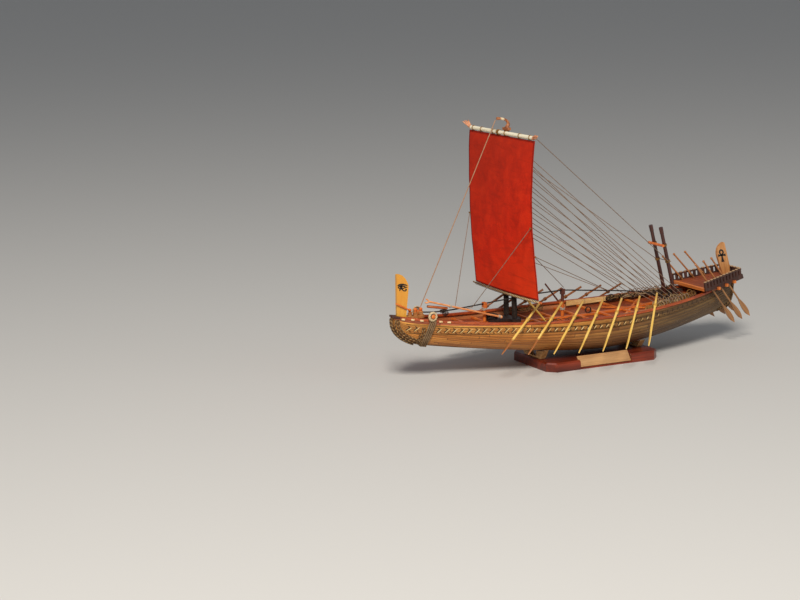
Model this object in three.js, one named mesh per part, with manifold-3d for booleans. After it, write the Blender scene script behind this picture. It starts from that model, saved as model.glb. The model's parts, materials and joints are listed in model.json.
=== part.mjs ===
// Scale model of an ancient Egyptian seagoing ship on its display base.
// Millimetres. +X runs to the stern, -Y is the port side, +Z is up.
// The origin is the middle of the base board's underside.
import * as THREE from 'three';
import { mergeVertices } from 'three/addons/utils/BufferGeometryUtils.js';
import Module from 'manifold-3d';

const wasm = await Module();
wasm.setup();

// Clearances
const GAP = 0.3; // between pieces that touch on the real model
const RUNNING = 0.45; // round a loom that turns in a hole

// Base board and cradles
const BASE_LENGTH = 110;
const BASE_WIDTH = 66;
const BASE_HEIGHT = 7.7;
const BASE_CORNER = 7;
const BASE_BEVEL = 1.3;
const PLATE_LENGTH = 50;
const PLATE_HEIGHT = 10;
const PLATE_THICKNESS = 0.8;
const PLATE_LEAN = 52; // degrees from the level
const CRADLE_THICKNESS = 5;
const CRADLE_FORE_INSET = 5; // from the board's end to the cradle's middle
const CRADLE_AFT_INSET = 9;
const CRADLE_FOOT = 13;
const CRADLE_SPREAD = 18;
const CRADLE_LIP = 0.9; // upright edge at an arm's outer end, under the planking
const CRADLE_INNER = 6; // half of the gap between the arms
const CRADLE_BRIDGE = 1.4; // thickness under that gap

// Hull lines
const STEM_X = -183.7;
const STERN_X = 151;
const LOW_RAIL_X = 1.4;
const RAIL_MID_Z = 43.9;
const RAIL_BOW_RISE = 12.7;
const RAIL_STERN_RISE = 11.7;
const RAIL_BOW_POWER = 2.65;
const RAIL_STERN_POWER = 1.95;
const BEAM_X = -10.1;
const HALF_BEAM = 40;
const HALF_END = 3.4;
const PLAN_BOW_POWER = 1.1;
const PLAN_STERN_POWER = 0.8;
const KEEL_LOW_X = 6.2;
const KEEL_LOW_Z = 9.6;
const KEEL_BOW_RISE = 25.6;
const KEEL_STERN_RISE = 23.4;
const KEEL_BOW_POWER = 1.4;
const KEEL_STERN_POWER = 1.7;
const STEM_ROUND = 23;
const STEM_ROUND_RISE = 15.3;
const STERN_ROUND = 8;
const STERN_ROUND_RISE = 12.5;
const SECTION_POWER = 2.2;
const STATIONS = 30;
const GIRTH_STEPS = 8;

// Hull pieces
const SKIN = 1.2;
const KEEL_THICKNESS = 3;
const KEEL_PROUD = 0.8;
const KEEL_DEPTH = 12;
const STEM_HEAD = 3.2;
const RAIL_WIDTH = 3;
const RAIL_HEIGHT = 1.7;
const RAIL_OUTSIDE = 0.4;
const DECK_THICKNESS = 1.2;
const DECK_DROP_MID = 6.6;
const DECK_DROP_END = 3.2;
const DECK_END = 4.6;
const FRAME_THICKNESS = 2.4;
const FRAME_XS = [-105, -15, 75];
const BEAM_WIDTH = 2.4;
const BEAM_HEIGHT = 1.6;
const CROSS_BEAM_FIRST_X = -162;
const CROSS_BEAM_PITCH = 22.1;
const CROSS_BEAMS = 12;
const CENTRE_BEAM_BOW_X = -171;
const CENTRE_BEAM_STERN_X = 100;
const BITT_XS = [-167.8, -162.8, -157.8];
const BITT_TOP_Z = 60.2;
const BITT_RADIUS = 1.2;
const STICK_RADIUS = 0.7; // a stick lashed to the first bitt, beside the bow blade
const STICK_REACH = 13.8;
const STICK_RISE = 6.2;
const DIAGONAL_FORE_X = 27;
const DIAGONAL_AFT_X = 66;
const DIAGONAL_HALF = 20;
const DIAGONAL_WIDTH = 2;

// Bow and stern blades
const POST_THICKNESS = 2.4;
const BOW_POST_X = -180;
const BOW_POST_FOOT = 8.4;
const BOW_POST_TOP_Z = 90;
const STERN_POST_FOOT = 7.2;
const STERN_POST_TOP_Z = 88.7;

// Stern platform and its railing
const PLATFORM_X = 105.5;
const PLATFORM_Z = 53.3;
const PLATFORM_SLOPE = 8.5; // degrees, rising to the stern
const PLATFORM_LENGTH = 46.8;
const STERN_POST_INSET = 9.8; // from the platform's aft edge to the blade's front
const PLATFORM_HALF_FORE = 25.9;
const PLATFORM_HALF_AFT = 14.4;
const PLATFORM_BOARD = 1.5;
const PLATFORM_BEAM = 2;
const PLATFORM_BEAM_DEPTH = 2.3;
const PLATFORM_BEAM_REACH = 2.4; // beyond the railing
const PLATFORM_BEAMS = [15.6, 25.8, 36];
const PLATFORM_LAP = 0.2; // how far a beam lies let into the boards
const FRONT_BEAM = 2.4;
const FRONT_BEAM_RISE = 0.6; // over the boards
const FRONT_BEAM_DROP = 0.3; // under them
const RAILING_THICKNESS = 1.6;
const RAILING_TOP = 6.3;
const RAILING_STRIP = 1.2;
const RAILING_SILL = 0.9; // above the boards
const RAILING_SKIRT_FORE = 1.2; // below the boards' top, at the front
const RAILING_SKIRT_AFT = 3.2;
const RAILING_PITCH = 4.2;
const RAILING_POST = 2.4;
const RAILING_KNOB = 0.7;
const RAILING_AFT_LEAN = 12; // degrees forward of the side railings' square

// Gallows on the after deck
const GALLOWS_HALF = 7.6;
const GALLOWS_FOOT_X = 87.4;
const GALLOWS_TOP_X = 70.6;
const GALLOWS_TOP_Z = 108.4;
const GALLOWS_RADIUS = 1.7;
const GALLOWS_BAR_Z = 92.8;
const GALLOWS_BAR_HALF = 10.8;
const GALLOWS_BAR_RADIUS = 1.25;

// Two-legged mast
const MAST_X = -73.6;
const MAST_HALF = 7;
const MAST_TOP_X = -76.8;
const MAST_TOP_HALF = 1.9;
const MAST_TOP_Z = 199.6;
const MAST_FOOT_RADIUS = 1.95;
const MAST_TOP_RADIUS = 1.3;
const STEP_TOP_Z = 43.7;
const STEP_LENGTH = 30;
const STEP_FORE_SHARE = 0.75; // of the step that lies before the mast
const STEP_LEAST_HEIGHT = 1.8;
const STEP_HALF = 4.6;
const STEP_ARM_HALF = 10.5;
const STEP_ARM_WIDTH = 8;
const HEAD_BLOCK = 2.2;
const HEAD_HALF = 3.6;

// Yard, boom and sail
const YARD_X = -81.7;
const YARD_Z = 198.2;
const YARD_RADIUS = 1.65;
const YARD_HALF = 51;
const YARD_HAND = 5.5;
const BOOM_X = -77.4;
const BOOM_Z = 65.4;
const BOOM_SAG = 1.2;
const BOOM_RADIUS = 0.95;
const BOOM_HALF = 56;
const SAIL_HALF_TOP = 53;
const SAIL_HALF_FOOT = 51.5;
const SAIL_THICKNESS = 0.7;
const SAIL_BELLY = 4.2;
const SAIL_EDGE_BELLY = 3.4;
const SAIL_ROWS = 16;
const SAIL_COLUMNS = 12;

// Rope sizes
const STAY = 0.7;
const FORESTAY = 0.9;
const TRUSS = 1.25;
const ROPE_SIDES = 6;
const TRUSS_XS = [-155.6, -145, -128, -80, -48, -6, 18, 38, 58, 79]; // apart from the crutches
const TRUSS_ZS = [56.4, 55.4, 55.6, 59.2, 61.2, 60, 57.5, 55.2, 52.6, 46.4];
const TRUSS_FORE_CRUTCH_Z = 57.8;
const TRUSS_MID_CRUTCH_Z = 61.8;
const FORESTAY_REACH = 10.6; // before the mast's top
const FORESTAY_RISE = 9;
const STAY_PAIRS = 8;
const STAY_TOP_Z = 192;
const STAY_LOW_Z = 124;
const STAY_AFT_X = 92;
const STAY_FORE_X = 62;
const STAY_INSIDE = 8; // from the hull's side, clear of the oars' handles
const HANK_FORE_X = 61; // the stays' spare line, put away in loops inside each cap rail
const HANK_LOOPS = 8;
const HANK_PITCH = 3.8;
const HANK_STEPS = 12; // per loop
const HANK_HALF_WIDTH = 1.75;
const HANK_HALF_HEIGHT = 2.9;
const HANK_LIFT = 0.8; // the loops' middle above the cap rail's top
const CROSSING_X = 95; // where the line runs over the deck from one side to the other
const BOWLINE_X = -118;
const BOWLINE_SPREAD = 7;
const BOWLINE_Z = 126;
const SHEET_X = 22;
const SHEET_Z = 102.5;

// Crutches, pole and girdle
const CRUTCH_RADIUS = 1.5;
const CRUTCH_CLEAR = 0.9; // between the fore crutch and the mast step
const CRUTCH_MID_X = -23;
const PROP_RADIUS = 0.8;
const PROP_FOOT = 9;
const PROP_REACH = 15.5;
const PROP_RISE = 20;
const PROP_SPLAY = 0.8;
const FORK_DEPTH = 2.4;
const FORK_CHEEK = 0.9;
const POLE_RADIUS = 0.9;
const POLE_FORK = new THREE.Vector3(-154.6, -2.3, 66);
const POLE_BALL = new THREE.Vector3(-85, -4, 45.8);
const POLE_BALL_RADIUS = 1.5;
const GIRDLE_X = -155;
const GIRDLE_WIDTH = 5.6;
const GIRDLE_THICKNESS = 1.2;
const GIRDLE_RING = 3.1;
const GIRDLE_RING_TUBE = 1.1;

// Rowing oars
const OARS = 7;
const OAR_FIRST_X = -76.9;
const OAR_PITCH = 20.5;
const OAR_DROP = 34; // degrees below the level
const OAR_SWEEP_FIRST = 68; // degrees towards the bow
const OAR_SWEEP_STEP = -4.4;
const OAR_LENGTH = 62;
const OAR_INBOARD_FIRST = 20.5;
const OAR_INBOARD_STEP = -1;
const OAR_RADIUS = 1;
const OAR_BLADE = 19;
const OAR_BLADE_WIDTH = 3.6;
const OAR_ABOVE_RAIL = 2.8;
const OAR_OUTSIDE = 0.6;
const GROMMET_RADIUS = 1.35;
const GROMMET_LENGTH = 2.4;

// Steering oars
const STEERING_OARS = 3;
const STEERING_FIRST_X = 114.2;
const STEERING_PITCH = 10;
const STEERING_RAKE = 40.8; // degrees from the vertical, foot to the stern
const STEERING_LEAN = 7.3; // degrees, foot towards the hull
const STEERING_ABOVE = 29.5;
const STEERING_BELOW = 47.4;
const STEERING_RADIUS = 0.85;
const STEERING_BLADE = 22;
const STEERING_BLADE_WIDTH = 4.9;
const BLADE_THICKNESS = 0.9;

const rad = THREE.MathUtils.degToRad;
const V = (x, y, z) => new THREE.Vector3(x, y, z);

function finish(colour, roughness, metalness = 0) {
  return new THREE.MeshStandardMaterial({ color: colour, roughness, metalness });
}

const mahogany = finish('#7a2c1c', 0.38);
const redBrown = finish('#8c3f24', 0.5);
const honey = finish('#a9763c', 0.55);
const orangeWood = finish('#c8652a', 0.5);
const paleOak = finish('#d3b27c', 0.6);
const ivory = finish('#e0b043', 0.45);
const tan = finish('#c08a4a', 0.5);
const darkWood = finish('#3a2018', 0.5);
const blackWood = finish('#1d1512', 0.5);
const oarYellow = finish('#e2b14f', 0.5);
const creamSpar = finish('#cfc4a6', 0.6);
const redCloth = finish('#b7241a', 0.9);
const rope = finish('#6d5138', 0.9);
const stayRope = finish('#7c6250', 0.9);
const plateTan = finish('#c99b66', 0.4, 0.2);

// Geometry helpers

// A closed body through rings of points, each ring with the same count.
function loft(rings) {
  const count = rings[0].length;
  const positions = rings.flat().flatMap((p) => [p.x, p.y, p.z]);
  const index = [];
  for (let i = 0; i < rings.length - 1; i += 1) {
    for (let j = 0; j < count; j += 1) {
      const a = i * count + j;
      const b = i * count + ((j + 1) % count);
      index.push(a, b, a + count, b, b + count, a + count);
    }
  }
  const last = (rings.length - 1) * count;
  for (const [a, b, c] of ringFaces(rings[0])) index.push(c, b, a);
  for (const [a, b, c] of ringFaces(rings[rings.length - 1])) index.push(last + a, last + b, last + c);
  const geometry = new THREE.BufferGeometry();
  geometry.setAttribute('position', new THREE.Float32BufferAttribute(positions, 3));
  geometry.setIndex(index);
  return outward(geometry);
}

// Triangles across one flat ring, which need not be convex.
function ringFaces(ring) {
  const normal = V(0, 0, 0);
  ring.forEach((p, i) => {
    const q = ring[(i + 1) % ring.length];
    normal.add(p.clone().cross(q));
  });
  normal.normalize();
  const u = ring[1].clone().sub(ring[0]).normalize();
  const v = normal.clone().cross(u);
  const flat = ring.map((p) => new THREE.Vector2(p.dot(u), p.dot(v)));
  return THREE.ShapeUtils.triangulateShape(flat, []);
}

function volumeOf(geometry) {
  const p = geometry.getAttribute('position');
  const index = geometry.getIndex().array;
  let total = 0;
  const [a, b, c] = [V(0, 0, 0), V(0, 0, 0), V(0, 0, 0)];
  for (let i = 0; i < index.length; i += 3) {
    a.fromBufferAttribute(p, index[i]);
    b.fromBufferAttribute(p, index[i + 1]);
    c.fromBufferAttribute(p, index[i + 2]);
    total += a.dot(b.cross(c)) / 6;
  }
  return total;
}

function outward(geometry) {
  if (volumeOf(geometry) >= 0) return geometry;
  const index = Array.from(geometry.getIndex().array);
  for (let i = 0; i < index.length; i += 3) [index[i], index[i + 1]] = [index[i + 1], index[i]];
  geometry.setIndex(index);
  return geometry;
}

function toSolid(geometry) {
  const bare = geometry.clone();
  bare.deleteAttribute('normal');
  bare.deleteAttribute('uv');
  const merged = mergeVertices(bare, 1e-4);
  return new wasm.Manifold(new wasm.Mesh({
    numProp: 3,
    vertProperties: new Float32Array(merged.getAttribute('position').array),
    triVerts: new Uint32Array(merged.getIndex().array),
  }));
}

function fromSolid(solid) {
  const mesh = solid.getMesh();
  const geometry = new THREE.BufferGeometry();
  geometry.setAttribute('position', new THREE.Float32BufferAttribute(mesh.vertProperties, 3));
  geometry.setIndex(Array.from(mesh.triVerts));
  return geometry;
}

function join(geometries) {
  return fromSolid(geometries.map(toSolid).reduce((a, b) => a.add(b)));
}

function cut(geometry, tools) {
  return fromSolid(tools.map(toSolid).reduce((a, b) => a.subtract(b), toSolid(geometry)));
}

function box(x0, x1, y0, y1, z0, z1) {
  const geometry = new THREE.BoxGeometry(x1 - x0, y1 - y0, z1 - z0);
  return geometry.translate((x0 + x1) / 2, (y0 + y1) / 2, (z0 + z1) / 2);
}

// A flat plate whose outline is in X and Z, from y0 to y1.
function sidePlate(shape, y0, y1, curveSegments = 8) {
  const geometry = new THREE.ExtrudeGeometry(shape, { depth: y1 - y0, bevelEnabled: false, curveSegments });
  return geometry.rotateX(Math.PI / 2).translate(0, y1, 0);
}

// A flat plate whose outline is in Y and Z, from x0 to x1.
function crossPlate(points, x0, x1) {
  const shape = new THREE.Shape(points.map(([y, z]) => new THREE.Vector2(y, z)));
  const geometry = new THREE.ExtrudeGeometry(shape, { depth: x1 - x0, bevelEnabled: false });
  const turn = new THREE.Matrix4().makeBasis(V(0, 1, 0), V(0, 0, 1), V(1, 0, 0));
  return geometry.applyMatrix4(turn).translate(x0, 0, 0);
}

// A round rod from a to b, tapering from radius ra to rb.
function rod(a, b, ra, rb = ra, sides = 10) {
  const along = b.clone().sub(a);
  const geometry = new THREE.CylinderGeometry(rb, ra, along.length(), sides);
  const turn = new THREE.Quaternion().setFromUnitVectors(V(0, 1, 0), along.clone().normalize());
  return geometry.applyQuaternion(turn).translate((a.x + b.x) / 2, (a.y + b.y) / 2, (a.z + b.z) / 2);
}

function ball(centre, radius, sides = 10) {
  return new THREE.SphereGeometry(radius, sides, Math.ceil(sides * 0.6)).translate(centre.x, centre.y, centre.z);
}

// A rope along a smooth curve.
function ropeAlong(points, diameter, steps) {
  const section = new THREE.Shape();
  section.absarc(0, 0, diameter / 2, 0, Math.PI * 2);
  const path = new THREE.CatmullRomCurve3(points, false, 'centripetal');
  return new THREE.ExtrudeGeometry(section, {
    steps, extrudePath: path, curveSegments: ROPE_SIDES, bevelEnabled: false,
  });
}

// A taut rope through sharp corners, mitred at each one.
function ropeThrough(points, diameter) {
  const directions = points.slice(1).map((p, i) => p.clone().sub(points[i]).normalize());
  const side = V(0, 0, 1).cross(directions[0]).normalize();
  const up = directions[0].clone().cross(side);
  let ring = Array.from({ length: ROPE_SIDES }, (_, k) => {
    const angle = (k / ROPE_SIDES) * Math.PI * 2;
    return points[0].clone()
      .addScaledVector(side, Math.cos(angle) * diameter / 2)
      .addScaledVector(up, Math.sin(angle) * diameter / 2);
  });
  const rings = [ring];
  for (let i = 1; i < points.length; i += 1) {
    const along = directions[i - 1];
    const mitre = i < directions.length ? along.clone().add(directions[i]).normalize() : along;
    ring = ring.map((p) => {
      const reach = points[i].clone().sub(p).dot(mitre) / along.dot(mitre);
      return p.clone().addScaledVector(along, reach);
    });
    rings.push(ring);
  }
  return loft(rings);
}

// Hull lines: rail top, half breadth and keel along the length

function railZ(x) {
  const bow = x < LOW_RAIL_X;
  const span = bow ? LOW_RAIL_X - STEM_X : STERN_X - LOW_RAIL_X;
  const rise = bow ? RAIL_BOW_RISE : RAIL_STERN_RISE;
  const power = bow ? RAIL_BOW_POWER : RAIL_STERN_POWER;
  return RAIL_MID_Z + rise * (Math.abs(x - LOW_RAIL_X) / span) ** power;
}

function skinTopZ(x) {
  return railZ(x) - RAIL_HEIGHT - GAP;
}

function halfBreadth(x) {
  const bow = x < BEAM_X;
  const share = bow ? (x - STEM_X) / (BEAM_X - STEM_X) : (STERN_X - x) / (STERN_X - BEAM_X);
  const power = bow ? PLAN_BOW_POWER : PLAN_STERN_POWER;
  const swell = Math.sin((Math.PI / 2) * THREE.MathUtils.clamp(share, 0, 1)) ** power;
  return HALF_END + (HALF_BEAM - HALF_END) * swell;
}

function endRound(x, start, length, rise) {
  const share = THREE.MathUtils.clamp(Math.abs(x - start) / length, 0, 1);
  return rise * (1 - Math.sqrt(1 - share * share));
}

function keelZ(x) {
  const bow = x < KEEL_LOW_X;
  const span = bow ? KEEL_LOW_X - STEM_X : STERN_X - KEEL_LOW_X;
  const rise = bow ? KEEL_BOW_RISE : KEEL_STERN_RISE;
  const power = bow ? KEEL_BOW_POWER : KEEL_STERN_POWER;
  let z = KEEL_LOW_Z + rise * (Math.abs(x - KEEL_LOW_X) / span) ** power;
  if (x < STEM_X + STEM_ROUND) z += endRound(x, STEM_X + STEM_ROUND, STEM_ROUND, STEM_ROUND_RISE);
  if (x > STERN_X - STERN_ROUND) z += endRound(x, STERN_X - STERN_ROUND, STERN_ROUND, STERN_ROUND_RISE);
  return z;
}

// Half breadth at height z of the surface that lies inset inside the planking's outside.
function halfAt(x, z, inset) {
  const top = skinTopZ(x);
  const depth = top - keelZ(x) - inset;
  const down = THREE.MathUtils.clamp((top - z) / depth, 0, 1);
  return (halfBreadth(x) - inset) * (1 - down ** SECTION_POWER) ** (1 / SECTION_POWER);
}

// Height at which that surface is y off the middle line.
function bottomAt(x, y, inset) {
  const top = skinTopZ(x);
  const out = THREE.MathUtils.clamp(Math.abs(y) / (halfBreadth(x) - inset), 0, 1);
  return top - (top - keelZ(x) - inset) * (1 - out ** SECTION_POWER) ** (1 / SECTION_POWER);
}

// One point of that surface, by the angle round the section: 0 at the keel, 1 at the rail.
function sectionPoint(x, share, inset, side) {
  const half = halfBreadth(x) - inset;
  const seam = KEEL_THICKNESS / 2 + GAP;
  const first = Math.asin((seam / half) ** (SECTION_POWER / 2));
  const angle = first + (Math.PI / 2 - first) * share;
  const top = skinTopZ(x);
  const y = half * Math.sin(angle) ** (2 / SECTION_POWER);
  const z = top - (top - keelZ(x) - inset) * Math.max(Math.cos(angle), 0) ** (2 / SECTION_POWER);
  return V(x, side * y, z);
}

// Stations crowd towards both ends, where the hull curves most.
function stationX(i, from = STEM_X, to = STERN_X, count = STATIONS) {
  return (from + to) / 2 - ((to - from) / 2) * Math.cos((Math.PI * i) / count);
}

const stationXs = (from, to, count) => Array.from({ length: count + 1 }, (_, i) => stationX(i, from, to, count));

function deckZ(x) {
  const mid = (STEM_X + STERN_X) / 2;
  const share = (x - mid) / ((STERN_X - STEM_X) / 2);
  return railZ(x) - DECK_DROP_MID + (DECK_DROP_MID - DECK_DROP_END) * share * share;
}

const beamTopZ = (x) => deckZ(x) + GAP + BEAM_HEIGHT;

// Hull pieces

function planking(side) {
  return loft(stationXs(STEM_X, STERN_X, STATIONS).map((x) => {
    const shares = Array.from({ length: GIRTH_STEPS + 1 }, (_, j) => j / GIRTH_STEPS);
    const outside = shares.map((s) => sectionPoint(x, s, 0, side));
    const inside = shares.map((s) => sectionPoint(x, s, SKIN, side)).reverse();
    return [...outside, ...inside];
  }));
}

function keelPlate() {
  const xs = stationXs(STEM_X, STERN_X, STATIONS);
  const points = [];
  points.push([STEM_X - KEEL_PROUD, skinTopZ(STEM_X)]);
  xs.forEach((x, i) => {
    const end = i === 0 ? -KEEL_PROUD : (i === STATIONS ? KEEL_PROUD : 0);
    points.push([x + end, keelZ(x) - KEEL_PROUD]);
  });
  points.push([STERN_X + KEEL_PROUD, skinTopZ(STERN_X)]);
  points.push([STERN_X - STEM_HEAD, skinTopZ(STERN_X - STEM_HEAD)]);
  const inner = stationXs(STEM_X + STEM_HEAD + GAP, STERN_X - STEM_HEAD - GAP, 16);
  inner.reverse().forEach((x) => points.push([x, keelTopZ(x)]));
  points.push([STEM_X + STEM_HEAD, skinTopZ(STEM_X + STEM_HEAD)]);
  const shape = new THREE.Shape(points.map(([x, z]) => new THREE.Vector2(x, z)));
  const plate = sidePlate(shape, -KEEL_THICKNESS / 2, KEEL_THICKNESS / 2);
  const slots = FRAME_XS.map((x) => box(
    x - FRAME_THICKNESS / 2 - GAP, x + FRAME_THICKNESS / 2 + GAP,
    -KEEL_THICKNESS, KEEL_THICKNESS,
    halfLapZ(x), keelZ(x) + KEEL_DEPTH * 2,
  ));
  return cut(plate, slots);
}

function keelTopZ(x) {
  return Math.min(keelZ(x) + KEEL_DEPTH, deckZ(x) - DECK_THICKNESS - GAP);
}

function halfLapZ(x) {
  return keelZ(x) + KEEL_DEPTH / 2;
}

function frame(x) {
  const faces = [x - FRAME_THICKNESS / 2, x + FRAME_THICKNESS / 2];
  const inset = SKIN + GAP * 2;
  const top = Math.min(...faces.map(deckZ)) - DECK_THICKNESS - GAP;
  const foot = Math.max(...faces.map((f) => bottomAt(f, KEEL_THICKNESS, inset)));
  const levels = Array.from({ length: 9 }, (_, i) => foot + (top - foot) * (i / 8) ** 1.6);
  const outline = levels.map((z) => [Math.min(...faces.map((f) => halfAt(f, z, inset))), z]);
  const mirrored = outline.map(([y, z]) => [-y, z]).reverse();
  const plate = crossPlate([...outline, ...mirrored], ...faces);
  const slot = box(x - 4, x + 4, -KEEL_THICKNESS / 2 - GAP, KEEL_THICKNESS / 2 + GAP, 0, halfLapZ(x) + GAP);
  return cut(plate, [slot]);
}

function deck() {
  return loft(stationXs(STEM_X + DECK_END, STERN_X - DECK_END, 22).map((x) => {
    const top = deckZ(x);
    const low = top - DECK_THICKNESS;
    const upper = halfAt(x, top, SKIN + GAP * 2);
    const lower = halfAt(x, low, SKIN + GAP * 2);
    return [V(x, -upper, top), V(x, -lower, low), V(x, lower, low), V(x, upper, top)];
  }));
}

// The cap rail lies on the planking's top edge and meets its twin at stem and stern.
function gunwale(side) {
  return loft(stationXs(STEM_X - KEEL_PROUD, STERN_X + KEEL_PROUD, STATIONS).map((x) => {
    const outer = halfBreadth(x) + RAIL_OUTSIDE;
    const inner = Math.max(outer - RAIL_WIDTH, GAP / 2);
    const top = railZ(x);
    const low = top - RAIL_HEIGHT;
    return [V(x, side * inner, low), V(x, side * outer, low), V(x, side * outer, top), V(x, side * inner, top)];
  }));
}

// A strip of timber that follows the deck from x0 to x1.
function deckStrip(x0, x1, half, lift, height, count) {
  return loft(Array.from({ length: count + 1 }, (_, i) => {
    const x = x0 + ((x1 - x0) * i) / count;
    const low = deckZ(x) + lift;
    return [V(x, -half, low), V(x, half, low), V(x, half, low + height), V(x, -half, low + height)];
  }));
}

function deckTimbers() {
  const pieces = [deckStrip(CENTRE_BEAM_BOW_X, CENTRE_BEAM_STERN_X, BEAM_WIDTH / 2, GAP, BEAM_HEIGHT, 18)];
  for (let i = 0; i < CROSS_BEAMS; i += 1) {
    const x = CROSS_BEAM_FIRST_X + CROSS_BEAM_PITCH * i;
    const half = BEAM_WIDTH / 2;
    const reach = Math.min(...[x - half, x + half].map((f) => halfAt(f, deckZ(f), SKIN))) - GAP * 2.5;
    const low = Math.max(deckZ(x - half), deckZ(x + half)) + GAP;
    pieces.push(box(x - half, x + half, -reach, reach, low, low + BEAM_HEIGHT * 0.85));
  }
  for (const side of [-1, 1]) {
    pieces.push(diagonal(DIAGONAL_FORE_X, -side * DIAGONAL_HALF, DIAGONAL_AFT_X, side * DIAGONAL_HALF));
  }
  for (const x of BITT_XS) {
    pieces.push(rod(V(x, 0, deckZ(x) + GAP * 2), V(x, 0, BITT_TOP_Z), BITT_RADIUS, BITT_RADIUS * 0.85, 8));
    pieces.push(ball(V(x, 0, BITT_TOP_Z - 1), BITT_RADIUS * 1.3, 8));
  }
  const stickFoot = V(BITT_XS[0], -BITT_RADIUS * 1.3 - STICK_RADIUS * 0.6, BITT_TOP_Z - 1);
  const stickSide = POST_THICKNESS / 2 + GAP * 2 + STICK_RADIUS;
  const stickTop = V(BITT_XS[0] - STICK_REACH, -stickSide, BITT_TOP_Z + STICK_RISE);
  pieces.push(rod(stickFoot, stickTop, STICK_RADIUS, STICK_RADIUS, 6));
  return join(pieces);
}

// A slanting timber on the deck.
function diagonal(x0, y0, x1, y1) {
  const across = V(y1 - y0, x0 - x1, 0).normalize().multiplyScalar(DIAGONAL_WIDTH / 2);
  return loft([0, 0.25, 0.5, 0.75, 1].map((share) => {
    const at = V(x0 + (x1 - x0) * share, y0 + (y1 - y0) * share, 0);
    at.z = deckZ(at.x) + GAP * 1.3;
    const [left, right] = [at.clone().add(across), at.clone().sub(across)];
    const rise = V(0, 0, BEAM_HEIGHT * 0.7);
    return [left, right, right.clone().add(rise), left.clone().add(rise)];
  }));
}

// Bow and stern blades

function bowPost() {
  const foot = deckZ(BOW_POST_X + BOW_POST_FOOT) + GAP;
  const frontFoot = deckZ(BOW_POST_X) + GAP;
  const shape = new THREE.Shape();
  shape.moveTo(BOW_POST_X, frontFoot);
  shape.lineTo(BOW_POST_X + BOW_POST_FOOT, foot);
  shape.bezierCurveTo(
    BOW_POST_X + BOW_POST_FOOT + 0.2, foot + 12,
    BOW_POST_X + BOW_POST_FOOT + 2.6, BOW_POST_TOP_Z - 16,
    BOW_POST_X + BOW_POST_FOOT + 2.4, BOW_POST_TOP_Z - 10,
  );
  shape.bezierCurveTo(
    BOW_POST_X + BOW_POST_FOOT + 1, BOW_POST_TOP_Z - 5,
    BOW_POST_X + 5.5, BOW_POST_TOP_Z,
    BOW_POST_X + 1.2, BOW_POST_TOP_Z,
  );
  shape.quadraticCurveTo(BOW_POST_X, BOW_POST_TOP_Z, BOW_POST_X, BOW_POST_TOP_Z - 1.2);
  shape.lineTo(BOW_POST_X, frontFoot);
  return sidePlate(shape, -POST_THICKNESS / 2, POST_THICKNESS / 2, 7);
}

function platformZ(x) {
  return PLATFORM_Z + Math.tan(rad(PLATFORM_SLOPE)) * (x - PLATFORM_X);
}

function sternPost() {
  const front = PLATFORM_X + PLATFORM_LENGTH * Math.cos(rad(PLATFORM_SLOPE)) - STERN_POST_INSET;
  const back = front + STERN_POST_FOOT;
  const shape = new THREE.Shape();
  shape.moveTo(front, platformZ(front) + GAP);
  shape.lineTo(back, platformZ(back) + GAP);
  shape.lineTo(back - 0.7, STERN_POST_TOP_Z - 21);
  shape.lineTo(front + 0.6, STERN_POST_TOP_Z - 0.8);
  shape.quadraticCurveTo(front, STERN_POST_TOP_Z + 0.2, front - 1.4, STERN_POST_TOP_Z - 0.2);
  shape.bezierCurveTo(
    front - 5.2, STERN_POST_TOP_Z - 1.6,
    front - 9, STERN_POST_TOP_Z - 6,
    front - 6.4, STERN_POST_TOP_Z - 13,
  );
  shape.quadraticCurveTo(front - 3.6, STERN_POST_TOP_Z - 20.5, front, platformZ(front) + GAP);
  return sidePlate(shape, -POST_THICKNESS / 2, POST_THICKNESS / 2, 7);
}

// Stern platform, in its own frame: x from its front edge, z up from the boards

function platformHalf(x) {
  return PLATFORM_HALF_FORE + ((PLATFORM_HALF_AFT - PLATFORM_HALF_FORE) * x) / PLATFORM_LENGTH;
}

const railingAngle = Math.atan((PLATFORM_HALF_FORE - PLATFORM_HALF_AFT) / PLATFORM_LENGTH);

// Distance across the deck that a railing of the given thickness takes on a slanting side.
const acrossRailing = (thickness) => thickness / Math.cos(railingAngle);

const platformTurn = new THREE.Matrix4()
  .makeTranslation(PLATFORM_X, 0, PLATFORM_Z)
  .multiply(new THREE.Matrix4().makeRotationY(-rad(PLATFORM_SLOPE)));

// The cross beams under the platform, their ends proud of the railing.
function platformBeams(clearance) {
  return PLATFORM_BEAMS.map((x) => {
    const half = platformHalf(x) + PLATFORM_BEAM_REACH;
    const thick = PLATFORM_BEAM / 2 + clearance;
    const low = -PLATFORM_BOARD - PLATFORM_BEAM_DEPTH - clearance * 9;
    return box(x - thick, x + thick, -half, half, low, -PLATFORM_BOARD + PLATFORM_LAP + clearance);
  });
}

function platform() {
  const inset = acrossRailing(RAILING_THICKNESS + GAP);
  const end = PLATFORM_LENGTH - GAP;
  const corners = [
    V(0, platformHalf(0) - inset, 0),
    V(end, platformHalf(end) - inset, 0),
    V(end, inset - platformHalf(end), 0),
    V(0, inset - platformHalf(0), 0),
  ];
  const board = loft([0, -PLATFORM_BOARD].map((z) => corners.map((c) => V(c.x, c.y, z))));
  const front = platformHalf(FRONT_BEAM) - inset - GAP;
  const frontBeam = box(0, FRONT_BEAM, -front, front, -PLATFORM_BOARD - FRONT_BEAM_DROP, FRONT_BEAM_RISE);
  const looms = steeringLooms().map(({ top, tip }) => {
    const back = platformTurn.clone().invert();
    return rod(top.applyMatrix4(back), tip.applyMatrix4(back), STEERING_RADIUS + RUNNING, undefined, 12);
  });
  return cut(join([board, frontBeam, ...platformBeams(0)]), looms);
}

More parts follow.
